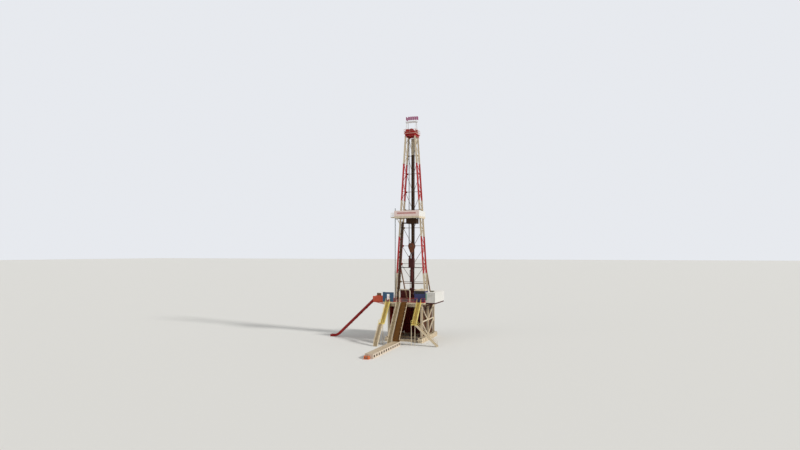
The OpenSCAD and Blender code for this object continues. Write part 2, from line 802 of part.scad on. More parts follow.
module drawworks_drum() color(steel) translate([0, drum_y, drum_z]) rotate([0, 90, 0]) {
    cylinder(h = 2 * drum_half + 340, r = shaft_r, center = true);
    cylinder(h = 2 * drum_half, r = drum_r, center = true);
    for (s = [-1, 1])
        translate([0, 0, s * (drum_half - flange_t / 2)])
            cylinder(h = flange_t, r = flange_r, center = true);
}

// Mast

pin_fit = 0.5;
cheek_t = 30;
cheek_y = leg_w / 2 + 3;

module mast_shoes() color(steel) mirrored() for (y = [-1, 1] * mast_depth / 2) {
    translate([foot_half, y, plate_t / 2]) cube([460, 420, plate_t], center = true);
    for (s = [-1, 1])
        translate([foot_half - 150, y + s * (cheek_y + cheek_t / 2) - cheek_t / 2, 0])
            cube([300, cheek_t, shoe_pin_z + 90]);
    translate([foot_half - shoe_pin_z * tan(taper), y, shoe_pin_z]) rotate([90, 0, 0])
        cylinder(h = 2 * (cheek_y + cheek_t) + 60, d = shoe_pin_d, center = true);
}

// Bar in the plane x = 0 from y0, z0 to y1, z1
module side_bar(y0, z0, y1, z1) bar([0, y0, z0], [0, y1, z1], brace_w);

flange_y = mast_depth / 2 - leg_w / 2;
gusset_l = 170;
half_panel = panel_h / 2;

module mast_side(k) translate([foot_half, 0, 0]) rotate([0, -taper, 0]) {
    s0 = k == 1 ? along(foot_z) : along(joints[k - 1] * panel_h) + fit;
    s1 = along(joints[k] * panel_h);
    difference() {
        for (y = [-1, 1] * mast_depth / 2)
            translate([0, y, s0]) linear_extrude(s1 - s0 + (k == 5 ? 100 : 0))
                h_section(leg_w, leg_w, leg_t);
        if (k == 1)
            translate([0, 0, along(shoe_pin_z)]) rotate([90, 0, 0])
                cylinder(h = 2 * mast_depth, d = shoe_pin_d + 2 * pin_fit, center = true);
    }
    for (y = [-1, 1] * mast_depth / 2) {
        if (k > 1)
            translate([0, y, s0 + plate_t / 2]) cube([leg_w + 60, leg_w + 60, plate_t], center = true);
        if (k < 5)
            translate([0, y, s1 - plate_t / 2]) cube([leg_w + 60, leg_w + 60, plate_t], center = true);
    }
    first = 2 * joints[k - 1];
    for (i = [first : 2 * joints[k] - 1]) {
        z0 = along(i * half_panel + (i == 0 ? 450 : 0));
        z1 = along((i + 1) * half_panel);
        s = i % 2 == 0 ? 1 : -1;
        side_bar(s * (flange_y + 6), z0 + 60, -s * (flange_y + 6), z1 - 60);
        if (i == 0) side_bar(-flange_y - 6, z0, flange_y + 6, z0);
        if (i % 2 == 1 && i < 17) side_bar(-flange_y - 6, z1, flange_y + 6, z1);
    }
    for (i = [1 : 9])
        if (i > joints[k - 1] && i <= joints[k])
            translate([-leg_w / 2 - gusset_l, mast_depth / 2 + leg_w / 2 - leg_t, along(i * panel_h) - 130])
                cube([gusset_l + 10, leg_t, 260]);
}

module mast_section(k) color(k % 2 == 1 ? cream : red) mirrored()
    if (k == 5)
        intersection() {
            mast_side(k);
            translate([0, -mast_depth, 0]) cube([2 * foot_half, 2 * mast_depth, mast_h]);
        }
    else mast_side(k);

module mast_section_1() mast_section(1);
module mast_section_2() mast_section(2);
module mast_section_3() mast_section(3);
module mast_section_4() mast_section(4);
module mast_section_5() mast_section(5);

back_y = mast_depth / 2 + leg_w / 2 - leg_t - brace_w / 2;

module mast_back_bracing() color(cream)
    intersection() {
        for (i = [1 : 8]) {
            z = i * panel_h;
            bar([-leg_x(z), back_y, z], [leg_x(z), back_y, z], brace_w);
            for (s = [-1, 1])
                bar([s * 60, back_y, z], [s * leg_x(z + panel_h), back_y, z + panel_h], brace_w - 8);
        }
        inset = (leg_w / 2 + 5) / cos(taper);
        translate([0, back_y, 0]) rotate([90, 0, 0]) linear_extrude(2 * brace_w, center = true)
            polygon([
                [inset - foot_half, 0], [foot_half - inset, 0],
                [head_half - inset, mast_h - fit], [inset - head_half, mast_h - fit],
            ]);
    }

module raking_legs() color(cream) {
    w = 150;
    face = mast_depth / 2 + leg_w / 2;
    x = leg_x(rake_h);
    mirrored() {
        intersection() {
            bar([x, face - 200, rake_h + 200 * rake_h / (rake_y - face)],
                [x, rake_y + 100, -100 * rake_h / (rake_y - face)], w);
            translate([0, face, plate_t]) cube([2 * x, 2 * rake_y, 2 * rake_h]);
        }
        translate([x - 130, rake_y - 170, 0]) cube([260, 340, plate_t]);
        translate([x - 90, face, rake_h - 250]) cube([180, plate_t, 450]);
    }
    mid = (face + rake_y) / 2;
    translate([-x, mid - 50, rake_h / 2 - 50]) cube([2 * x, 100, 100]);
}

ladder_x = -2050;
ladder_y = -1000;
ladder_w = 230;
ladder_rail = [40, 20]; // section of its rails
rung_pitch = 150;
rung_t = 20;
ladder_over = 1200;     // how far it reaches above the monkeyboard

module ladder() color(white) {
    top = board_z + ladder_over;
    for (y = [-1, 1] * ladder_w / 2)
        translate([ladder_x - ladder_rail.x / 2, ladder_y + y - ladder_rail.y / 2, 0])
            cube([ladder_rail.x, ladder_rail.y, top]);
    for (z = [rung_pitch : rung_pitch : top - 60])
        translate([ladder_x - rung_t / 2, ladder_y - ladder_w / 2, z])
            cube([rung_t, ladder_w, rung_t]);
}

// Monkeyboard

board_d = 260;          // depth of the monkeyboard's frame
board_walk = 260;       // width of the walk along its front
board_beam = 100;       // beam along the rear of the finger bays
dive_half = 140;        // half the width of the diving board
stop_half = 300;        // half the length of the landing at the ladder
stop_x = -2600;         // its left edge
stop_d = 130;
hatch_l = 330;          // opening in the landing beside the ladder
hatch_half = 160;
prop_w = 70;            // props under the monkeyboard
prop_d = 1000;
board_rear = 650;
board_gap = 12;         // gap between the frame and the mast's legs
leg_out = leg_x(board_z - 600) + leg_w / 2 + board_gap;

leg_face = mast_depth / 2 + leg_w / 2;
bay_front = board_front - board_walk;
bay_rear = leg_face + fit + board_beam;
finger_x = 320;         // free end of the finger bars
finger_w = 50;
finger_d = board_d - 20;
bay_x = -190;           // left end of the frame under the right finger bars
bay_w = 1470;
bay_y = -1850;          // its front
bay_l = 950;
bay_t = 30;             // its plates
bay_z = 1000;           // its foot below the monkeyboard's deck
arm_l = 660;            // arm that reaches on to the left
arm_h = 160;

module monkeyboard() color(cream) translate([0, 0, board_z]) {
    mirrored()
        translate([leg_out, -board_front, -board_d])
            cube([board_half - leg_out, board_front + board_rear, board_d]);
    translate([-board_half, -board_front, -board_d])
        cube([2 * board_half, board_walk, board_d]);
    translate([-board_half, -bay_rear, -board_d])
        cube([2 * board_half, board_beam, board_d]);
    translate([-dive_half, -board_front, -board_d])
        cube([2 * dive_half, board_front - leg_face - fit, board_d]);
    difference() {
        translate([stop_x, ladder_y - stop_half, -stop_d])
            cube([-board_half - stop_x + 1, 2 * stop_half, stop_d]);
        translate([ladder_x - hatch_l, ladder_y - hatch_half, -stop_d - 1])
            cube([hatch_l + ladder_rail.x / 2 + fit, 2 * hatch_half, stop_d + 2]);
    }
    intersection() {
        mirrored()
            bar([leg_out + 40, -bay_rear - 700, 20 - board_d],
                [leg_x(board_z - prop_d) + 20, 80 - leg_face, -prop_d], prop_w);
        translate([-board_half, -board_front, -1.5 * prop_d])
            cube([2 * board_half, board_front - leg_face - fit, 1.5 * prop_d]);
    }
}

module finger_bars() color(maroon) {
    translate([bay_x, bay_y, board_z - bay_z]) bay_frame();
    for (y = [-bay_front + finger_pitch : finger_pitch : -bay_rear - 60])
        mirrored()
            translate([finger_x, y - finger_w / 2, board_z - 20 - finger_d])
                cube([leg_out - fit - finger_x, finger_w, finger_d]);
}

// Frame of four plates that hangs under the right finger bars
module bay_frame() {
    h = bay_z - board_d - fit;
    for (y = [0, bay_l - bay_t])
        translate([0, y, 0]) cube([bay_w, bay_t, h]);
    for (x = [0, bay_w - bay_t])
        translate([x, bay_t + fit, 0]) cube([bay_t, bay_l - 2 * (bay_t + fit), h]);
    translate([-arm_l - fit, 0, 0]) cube([arm_l, bay_t, arm_h]);
}

module monkeyboard_screen() color(white) translate([0, 0, board_z]) {
    sheet_t = 25;
    translate([-board_half, -board_front, 0]) cube([2 * board_half, sheet_t, screen_h]);
    for (x = [-board_half, board_half - sheet_t])
        translate([x, -board_front, 0]) cube([sheet_t, board_front + board_rear, screen_h]);
}

// Crown

crown_beam_d = 300;
crown_z = mast_h + crown_beam_d + plate_t;
crown_rear = 1150;
axle_z = crown_z + 430;
cluster_half = sheave_n * sheave_pitch / 2;
axle_r = 60;
line_x = sheave_r - 20 + line_r + fit;
fast_y = sheave_y(sheave_n - 1) + line_x;
fast_x = -sheave_r - sheave_pitch / 2 - 12;
stand_t = 80;           // stands that carry the crown sheaves' axle
stand_gap = 50;
stand_half = head_half - 40;
stand_foot = 90;         // height of the stands' feet above the platform
stand_neck = 300;       // half their width above the feet
stand_top = 170;
fast_stand_t = 40;      // stands of the fast sheave
fast_stand_x = 70;
stand_y = cluster_half + stand_gap;
well_half = 480;        // opening in the platform that the lines pass

function sheave_y(i) = (i - (sheave_n - 1) / 2) * sheave_pitch;

// Row of n grooved sheaves on the Z axis, centred on z = 0, with the axle between them
module sheave_row(n, pitch, r, shaft, shaft_half) {
    w = pitch - 12;
    rotate_extrude($fn = 48)
        polygon(concat(
            [[0, -shaft_half], [shaft, -shaft_half]],
            [for (i = [0 : n - 1], c = [(i - (n - 1) / 2) * pitch],
                p = [[shaft, c - w / 2], [r, c - w / 2], [r, c - line_r - 8],
                    [r - 20, c - line_r - fit], [r - 20, c + line_r + fit],
                    [r, c + line_r + 8], [r, c + w / 2], [shaft, c + w / 2]]) p],
            [[shaft, shaft_half], [0, shaft_half]]
        ));
}

module crown_frame() color(red) {
    for (x = [-1, 1] * head_half)
        translate([x, -crown_half, mast_h + crown_beam_d]) beam_y(crown_half + crown_rear, 200, crown_beam_d);
    for (y = [-1, 1] * mast_depth / 2)
        translate([-head_half, y, mast_h + crown_beam_d]) beam_x(2 * head_half, 180, crown_beam_d);
    difference() {
        translate([-crown_half, -crown_half, mast_h + crown_beam_d])
            cube([2 * crown_half, crown_half + crown_rear, plate_t]);
        translate([-well_half, -stand_y, mast_h + crown_beam_d - 1])
            cube([2 * well_half, stand_y + crown_rear - 80, plate_t + 2]);
    }
    peak = axle_z - crown_z + 150;
    for (s = [-1, 1])
        difference() {
            translate([0, s * stand_y, crown_z])
                rotate([90, 0, 0]) linear_extrude(stand_t, center = true)
                    polygon([
                        [-stand_half, -crown_beam_d / 2], [stand_half, -crown_beam_d / 2],
                        [stand_half, stand_foot], [stand_neck, stand_foot], [stand_top, peak],
                        [-stand_top, peak], [-stand_neck, stand_foot], [-stand_half, stand_foot],
                    ]);
            translate([0, s * stand_y, axle_z]) rotate([90, 0, 0])
                cylinder(h = 2 * stand_t, r = axle_r + fit, center = true);
        }
    end = crown_rear - 40;
    difference() {
        for (s = [-1, 1])
            translate([fast_x + s * fast_stand_x, 0, crown_z]) rotate([90, 0, 90])
                linear_extrude(fast_stand_t, center = true)
                    polygon([
                        [stand_y, -crown_beam_d / 2], [end, -crown_beam_d / 2],
                        [end, stand_foot / 2], [fast_y + 90, peak - 50],
                        [fast_y - 90, peak - 50], [stand_y, stand_foot / 2],
                    ]);
        translate([fast_x, fast_y, axle_z]) rotate([0, 90, 0])
            cylinder(h = 4 * fast_stand_x, r = axle_r + fit, center = true);
    }
}

module crown_sheaves() color(red) {
    translate([0, 0, axle_z]) rotate([90, 0, 0])
        sheave_row(sheave_n, sheave_pitch, sheave_r, axle_r, cluster_half + 110);
    translate([fast_x, fast_y, axle_z]) rotate([0, 90, 0])
        sheave_row(1, sheave_pitch, sheave_r, axle_r, 120);
}

lift_half = 800;        // half the length of the lifting frame's beams
lift_x = 600;           // its legs at the top
lift_y = 250;
lift_foot = [700, 600]; // and at the foot
lift_w = 100;
lift_d = 110;
lift_leg = 70;

// Frame over the sheaves from which they are lifted out
module lifting_frame() {
    for (x = [-1, 1], y = [-1, 1]) {
        bar([x * lift_foot.x, y * lift_foot.y, 15], [x * lift_x, y * lift_y, lift_h - lift_d / 2],
            lift_leg);
        translate([x * lift_foot.x, y * lift_foot.y, plate_t / 2])
            cube([2 * lift_leg, 2 * lift_leg, plate_t], center = true);
    }
    for (y = [-lift_y, lift_y])
        translate([-lift_half, y - lift_w / 2, lift_h - lift_d]) cube([2 * lift_half, lift_w, lift_d]);
    for (x = [-lift_x, lift_x])
        translate([x - lift_w / 2, -lift_y, lift_h - lift_d]) cube([lift_w, 2 * lift_y, lift_d]);
}

module crown_railing() color(white) translate([0, 0, crown_z]) {
    for (y = [-crown_half, crown_rear - rail_bar])
        translate([-crown_half, y, 0]) railing(2 * crown_half, 600);
    for (x = [-crown_half + rail_bar, crown_half])
        translate([x, -crown_half + rail_bar + 1, 0])
            rotate([0, 0, 90]) railing(crown_half + crown_rear - 2 * rail_bar - 2, 600);
    lifting_frame();
}

flag_pitch = 300;
flag_x = 750;           // the last flags' distance from the middle
flag_pole = 660;
flag_l = 270;
flag_h = 480;

module crown_flags() color(red) translate([0, -lift_y, crown_z + lift_h]) {
    for (x = [-flag_x : flag_pitch : flag_x]) {
        translate([x - 8, -8, 0]) cube([16, 16, flag_pole]);
        translate([x + 7, -6, flag_pole - flag_h - 20]) cube([flag_l, 12, flag_h]);
    }
}

// Travelling gear

// The last line on the left runs to the fast sheave, the others straight up to the cluster
module drilling_lines() color(steel) {
    for (i = [0 : sheave_n - 1], s = [-1, 1])
        if (s > 0 || i < sheave_n - 1)
            translate([s * line_x, sheave_y(i), block_z])
                cylinder(h = axle_z - block_z, r = line_r, $fn = 8);
    y = sheave_y(sheave_n - 1);
    rod([-line_x, y, block_z], [fast_x, y, axle_z], line_r, $fn = 8);
}

fast_top = [fast_x, fast_y + line_x, axle_z];
drum_v = [fast_top.y - drum_y, fast_top.z - drum_z];
drum_turn = atan2(drum_v.y, drum_v.x) + acos((drum_r + line_r + fit) / norm(drum_v));
fast_foot = [fast_x, drum_y + (drum_r + line_r + fit) * cos(drum_turn),
    drum_z + (drum_r + line_r + fit) * sin(drum_turn)];

module fast_line() color(steel) rod(fast_foot, fast_top, line_r, $fn = 8);

// Flat link of thickness t along Y with round ends of radius r1 at the top and r2 d below it
module tapered_link(r1, r2, d, t) {
    a = asin((r1 - r2) / d);
    c1 = r1 - 2;
    c2 = r2 - 2;
    rotate([90, 0, 0]) linear_extrude(t, center = true) {
        circle(r1);
        translate([0, -d]) circle(r2);
        polygon([
            [c1 * cos(a), -c1 * sin(a)], [c2 * cos(a), -d - c2 * sin(a)],
            [-c2 * cos(a), -d - c2 * sin(a)], [-c1 * cos(a), -c1 * sin(a)],
        ]);
    }
}

block_half = cluster_half + 45;

module travelling_block() color(maroon) translate([0, 0, block_z]) {
    rotate([90, 0, 0]) sheave_row(sheave_n, sheave_pitch, sheave_r, axle_r, block_half);
    for (s = [-1, 1])
        translate([0, s * (block_half - 20), 0])
            tapered_link(block_w / 2, 170, 780, 40);
    translate([0, 0, -720]) cube([300, 2 * block_half - 20, 260], center = true);
}

hook_z = block_z - 850;
td_w = 760;             // gear case of the top drive
td_l = 500;
td_h = 1300;
td_z = hook_z - 850 - td_h;
motor_r = 130;
motor_x = 230;
handler_r = 190;        // pipe handler under the gear case
handler_h = 1850;
link_l = 2450;          // length of the elevator links
link_w = 50;
link_top = td_z - 360;
elevator_d = 180;
elevator_z = link_top - link_l - 140;
carriage_h = 1300;
carriage_fit = 0.6;     // gap between the carriage's shoes and the guide rails
rail_front = 460;       // front of the guide rails, behind the well
guide_z = 1300;         // foot of the guide rails
guide_back = 20;        // plate that joins the guide rails

module top_drive() color(maroon) {
    // bail that hangs from the block
    translate([-170, -90, hook_z - 140]) cube([340, 180, 140]);
    for (x = [-1, 1])
        bar([x * 240, 0, td_z + td_h - 20], [x * 110, 0, hook_z - 40], 90);
    // gear case, motors and pipe handler
    translate([-td_w / 2, -300, td_z]) cube([td_w, td_l, td_h]);
    for (x = [-1, 1])
        translate([x * motor_x, -150, td_z + td_h - 20]) cylinder(h = 420, r = motor_r);
    translate([0, 0, td_z - handler_h]) cylinder(h = handler_h + 20, r = handler_r);
    translate([-handler_r, -210, td_z - handler_h - 100]) cube([2 * handler_r, 420, 350]);
    translate([0, 0, td_z - handler_h - 500]) cylinder(h = 520, r = 60);
    // elevator links and elevator
    for (x = [-1, 1]) {
        translate([x * 230 - 60, -60, link_top - 60]) cube([120, 120, 120]);
        bar([x * 270, 0, link_top], [x * 215, 0, link_top - link_l], link_w);
    }
    difference() {
        translate([-260, -130, elevator_z]) cube([520, 260, elevator_d]);
        translate([0, 0, elevator_z - 1]) cylinder(h = elevator_d + 2, r = 70);
    }
    // carriage behind the drive, its shoes between the guide rails
    shoe_half = guide_half - guide_w / 2 - carriage_fit;
    translate([-shoe_half, 150, td_z - 100])
        cube([2 * shoe_half, rail_front + guide_w - 160, carriage_h]);
}

module guide_rails() color(steel) {
    top = mast_h - 100;
    width = 2 * guide_half + guide_w;
    back = rail_front + guide_w - 5;
    for (x = [-1, 1] * guide_half)
        translate([x - guide_w / 2, rail_front, guide_z]) cube([guide_w, guide_w, top - guide_z]);
    translate([-width / 2, back, guide_z + 5]) cube([width, guide_back, top - guide_z - 10]);
    for (i = [1 : 8])
        translate([-width / 2 + 5, back + 5, i * panel_h - 40])
            cube([width - 10, back_y - brace_w / 2 - back - 5, 80]);
}

base_frame();
side_frames();
rear_bracing();
substructure_screen();
floor_girders();
drill_floor();
rotary_table();
floor_railing();
wind_wall_left();
rear_wind_wall();
v_door_frame();
driller_cabin();
window_glass();
v_door_ramp();
ramp_stair();
side_stairs();
doghouse_bracket();
doghouse();
escape_platform();
escape_slide();
drawworks_frame();
drawworks_drum();
catwalk();
catwalk_winch();
mast_shoes();
mast_section_1();
mast_section_2();
mast_section_3();
mast_section_4();
mast_section_5();
mast_back_bracing();
raking_legs();
ladder();
monkeyboard();
finger_bars();
monkeyboard_screen();
crown_frame();
crown_sheaves();
crown_railing();
crown_flags();
guide_rails();
drilling_lines();
fast_line();
travelling_block();
top_drive();
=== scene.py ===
# Land drilling rig with a front-open mast, a 1:2 scale model.
# Metres, Z up, the origin at the centre of the rotary table at drill floor level.
import math
import random

import bmesh
import bpy
from mathutils import Matrix, Vector


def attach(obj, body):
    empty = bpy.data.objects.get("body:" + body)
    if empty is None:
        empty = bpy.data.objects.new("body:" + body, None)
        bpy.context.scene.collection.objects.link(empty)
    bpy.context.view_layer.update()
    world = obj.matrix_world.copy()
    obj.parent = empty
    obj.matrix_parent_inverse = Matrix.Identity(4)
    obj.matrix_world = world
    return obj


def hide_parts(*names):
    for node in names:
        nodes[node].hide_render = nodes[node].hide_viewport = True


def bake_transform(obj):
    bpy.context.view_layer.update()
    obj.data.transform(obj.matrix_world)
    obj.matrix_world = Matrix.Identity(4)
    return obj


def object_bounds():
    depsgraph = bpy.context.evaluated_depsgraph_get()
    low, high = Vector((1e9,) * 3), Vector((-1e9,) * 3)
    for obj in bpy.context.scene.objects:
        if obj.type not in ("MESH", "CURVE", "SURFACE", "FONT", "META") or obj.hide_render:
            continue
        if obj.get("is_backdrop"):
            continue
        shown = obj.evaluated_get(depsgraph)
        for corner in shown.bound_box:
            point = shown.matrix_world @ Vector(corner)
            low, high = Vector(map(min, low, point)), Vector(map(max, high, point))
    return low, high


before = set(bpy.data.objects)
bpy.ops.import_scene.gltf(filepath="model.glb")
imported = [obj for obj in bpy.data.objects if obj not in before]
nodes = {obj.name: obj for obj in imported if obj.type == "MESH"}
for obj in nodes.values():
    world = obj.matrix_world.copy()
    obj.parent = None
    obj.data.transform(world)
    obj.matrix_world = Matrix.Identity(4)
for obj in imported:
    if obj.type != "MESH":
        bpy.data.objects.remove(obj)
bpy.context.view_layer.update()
scene = bpy.context.scene

# Camera: level, six and a half metres above the drill floor, in front of the rig and to its right.
# Its lens and shift frame the rig at the size and place that the photograph gives it.
camera = bpy.data.objects.new("camera", bpy.data.cameras.new("camera"))
scene.collection.objects.link(camera)
scene.camera = camera
camera.data.sensor_width = 36
camera.data.lens = 23.985
camera.data.shift_y = 0.035
camera.data.clip_end = 2000
camera.location = (23.01, -69.82, 6.5)
camera.rotation_euler = (math.radians(90), 0, math.radians(19.5))

# Studio: a wide pale floor that carries the shadow, a pale backdrop that only camera, gloss and
# glass see, an even dome of light, a soft key lamp from the right and a weak one from the left.
ground_z = -5.25
studio_half = 900
floor_mesh = bmesh.new()
bmesh.ops.create_grid(floor_mesh, x_segments=1, y_segments=1, size=studio_half)
bmesh.ops.translate(floor_mesh, vec=(0, 0, ground_z - 0.002), verts=floor_mesh.verts)
floor_data = bpy.data.meshes.new("studio_floor")
floor_mesh.to_mesh(floor_data)
floor_mesh.free()
studio_floor = bpy.data.objects.new("studio_floor", floor_data)
scene.collection.objects.link(studio_floor)
studio_floor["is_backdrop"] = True

floor_finish = bpy.data.materials.new("studio_floor")
floor_finish.use_nodes = True
floor_shader = floor_finish.node_tree.nodes["Principled BSDF"]
floor_shader.inputs["Base Color"].default_value = (0.74, 0.72, 0.67, 1)
floor_shader.inputs["Roughness"].default_value = 0.9
floor_data.materials.append(floor_finish)

world = bpy.data.worlds.new("studio")
scene.world = world
world.use_nodes = True
sky = world.node_tree
sky.nodes.clear()
dome = sky.nodes.new("ShaderNodeBackground")
dome.inputs["Color"].default_value = (0.93, 0.96, 1.0, 1)
dome.inputs["Strength"].default_value = 0.46
backdrop = sky.nodes.new("ShaderNodeBackground")
backdrop.inputs["Color"].default_value = (0.80, 0.82, 0.86, 1)
backdrop.inputs["Strength"].default_value = 1
seen = sky.nodes.new("ShaderNodeLightPath")
either = sky.nodes.new("ShaderNodeMath")
either.operation = "MAXIMUM"
any_ray = sky.nodes.new("ShaderNodeMath")
any_ray.operation = "MAXIMUM"
blend_sky = sky.nodes.new("ShaderNodeMixShader")
sky_out = sky.nodes.new("ShaderNodeOutputWorld")
sky.links.new(seen.outputs["Is Camera Ray"], either.inputs[0])
sky.links.new(seen.outputs["Is Glossy Ray"], either.inputs[1])
sky.links.new(either.outputs[0], any_ray.inputs[0])
sky.links.new(seen.outputs["Is Transmission Ray"], any_ray.inputs[1])
sky.links.new(any_ray.outputs[0], blend_sky.inputs[0])
sky.links.new(dome.outputs[0], blend_sky.inputs[1])
sky.links.new(backdrop.outputs[0], blend_sky.inputs[2])
sky.links.new(blend_sky.outputs[0], sky_out.inputs["Surface"])

for name, aim, strength, spread in [
    ("key_lamp", (-0.90, 0.14, -0.55), 2.8, 7),
    ("fill_lamp", (0.55, 0.70, -0.45), 0.30, 40),
]:
    lamp = bpy.data.objects.new(name, bpy.data.lights.new(name, "SUN"))
    lamp.data.energy = strength
    lamp.data.angle = math.radians(spread)
    lamp.rotation_mode = "QUATERNION"
    lamp.rotation_quaternion = Vector(aim).to_track_quat("-Z", "Y")
    scene.collection.objects.link(lamp)

scene.view_settings.view_transform = "Standard"

# Base frame and side frames. H columns on box-like skids, welded of plate and sprayed cream, with bolted
# end plates at the floor and the skids and gusset plates at the braces. Like all the painted parts they
# have stood outdoors: the paint fades in patches, rain streaks it, chips rust and dust settles on top.


def painted(name, colour, worn=0.35, rust=0.25, rough=0.5, dust=0.35, split=None, gleam=0.5):
    """Makes a weathered paint. split gives a height and the colour of the part above it."""
    rust_colour, dust_colour = (0.20, 0.09, 0.04), (0.56, 0.43, 0.26)
    wet = tuple(0.4 * c + 0.01 for c in colour)
    finish = bpy.data.materials.new(name)
    finish.use_nodes = True
    tree = finish.node_tree
    shader = tree.nodes["Principled BSDF"]
    place = tree.nodes.new("ShaderNodeTexCoord")

    def patches(scale, stretch, low, high, detail=4.0):
        mapping = tree.nodes.new("ShaderNodeMapping")
        mapping.inputs["Scale"].default_value = stretch
        tree.links.new(place.outputs["Object"], mapping.inputs["Vector"])
        noise = tree.nodes.new("ShaderNodeTexNoise")
        noise.inputs["Scale"].default_value = scale
        noise.inputs["Detail"].default_value = detail
        noise.inputs["Roughness"].default_value = 0.6
        tree.links.new(mapping.outputs[0], noise.inputs["Vector"])
        ramp = tree.nodes.new("ShaderNodeMapRange")
        ramp.inputs["From Min"].default_value = low
        ramp.inputs["From Max"].default_value = high
        tree.links.new(noise.outputs["Fac"], ramp.inputs["Value"])
        return ramp.outputs[0], noise.outputs["Fac"]

    def step_above(height):
        """One above the height in the part's own Z, zero below it."""
        parts = tree.nodes.new("ShaderNodeSeparateXYZ")
        tree.links.new(place.outputs["Object"], parts.inputs[0])
        test = tree.nodes.new("ShaderNodeMath")
        test.operation = "GREATER_THAN"
        tree.links.new(parts.outputs["Z"], test.inputs[0])
        test.inputs[1].default_value = height
        return test.outputs[0]

    def over(below, amount, share, above):
        """Lays one colour over another where the mask amount says, as thickly as share says."""
        scaled = tree.nodes.new("ShaderNodeMath")
        scaled.operation = "MULTIPLY"
        tree.links.new(amount, scaled.inputs[0])
        scaled.inputs[1].default_value = share
        mix = tree.nodes.new("ShaderNodeMix")
        mix.data_type = "RGBA"
        tree.links.new(scaled.outputs[0], mix.inputs["Factor"])
        if isinstance(below, tuple):
            mix.inputs["A"].default_value = (*below, 1)
        else:
            tree.links.new(below, mix.inputs["A"])
        mix.inputs["B"].default_value = (*above, 1)
        return mix.outputs["Result"]

    faded = tuple(c * 0.8 + 0.25 * sum(colour) / 3 for c in colour)
    fade, _ = patches(0.9, (1, 1, 1), 0.35, 0.75)
    runs, _ = patches(2.2, (3.0, 3.0, 0.35), 0.48, 0.72)
    chips, fine = patches(11.0, (1, 1, 1), 0.60, 0.66, 6.0)
    body = over(colour, fade, worn, faded)
    if split:
        height, second = split
        body = over(body, step_above(height), 1.0, second)
    body = over(body, runs, 0.55 * worn + 0.4 * rust, wet)
    body = over(body, chips, rust, rust_colour)
    upward = tree.nodes.new("ShaderNodeSeparateXYZ")
    tree.links.new(place.outputs["Normal"], upward.inputs[0])
    settled = tree.nodes.new("ShaderNodeMapRange")
    settled.inputs["From Min"].default_value = 0.4
    settled.inputs["From Max"].default_value = 0.95
    tree.links.new(upward.outputs["Z"], settled.inputs["Value"])
    body = over(body, settled.outputs[0], dust, dust_colour)
    tree.links.new(body, shader.inputs["Base Color"])
    shader.inputs["Specular IOR Level"].default_value = gleam

    gloss = tree.nodes.new("ShaderNodeMapRange")
    gloss.inputs["To Min"].default_value = rough - 0.08
    gloss.inputs["To Max"].default_value = min(1, rough + 0.25)
    tree.links.new(runs, gloss.inputs["Value"])
    tree.links.new(gloss.outputs[0], shader.inputs["Roughness"])
    bump = tree.nodes.new("ShaderNodeBump")
    bump.inputs["Strength"].default_value = 0.25
    bump.inputs["Distance"].default_value = 0.006
    tree.links.new(fine, bump.inputs["Height"])
    tree.links.new(bump.outputs[0], shader.inputs["Normal"])
    return finish


def wear(finish, *names):
    """Puts a finish on CAD nodes."""
    for name in names:
        data = nodes[name].data
        data.materials.clear()
        data.materials.append(finish)


def finished(name, mesh, finish, body="rig", smooth=False):
    """Makes the mesh an object of the scene that rides on a body of the rig."""
    bmesh.ops.recalc_face_normals(mesh, faces=mesh.faces)
    for face in mesh.faces:
        face.smooth = smooth
    data = bpy.data.meshes.new(name)
    mesh.to_mesh(data)
    mesh.free()
    data.materials.append(finish)
    piece = bpy.data.objects.new(name, data)
    scene.collection.objects.link(piece)
    if body:
        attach(piece, body)
    return piece


def block(mesh, centre, size, turn=None):
    """Adds a box of the given size, turned about its own centre."""
    made = bmesh.ops.create_cube(mesh, size=1)["verts"]
    bmesh.ops.scale(mesh, vec=size, verts=made)
    if turn:
        bmesh.ops.rotate(mesh, cent=(0, 0, 0), matrix=turn, verts=made)
    bmesh.ops.translate(mesh, vec=centre, verts=made)
    return made


def round_bar(mesh, start, end, radius, sides=12):
    """Adds a round bar from start to end."""
    run = Vector(end) - Vector(start)
    made = bmesh.ops.create_cone(
        mesh, cap_ends=True, segments=sides, radius1=radius, radius2=radius, depth=run.length
    )["verts"]
    bmesh.ops.rotate(mesh, cent=(0, 0, 0), matrix=run.to_track_quat("Z", "Y").to_matrix(), verts=made)
    bmesh.ops.translate(mesh, vec=(Vector(start) + Vector(end)) / 2, verts=made)


def hex_head(mesh, place, axis, size=0.018, height=0.014):
    """Adds a bolt's head that stands on place and points along axis."""
    start = Vector(place)
    round_bar(mesh, start, start + Vector(axis) * height, size, 6)


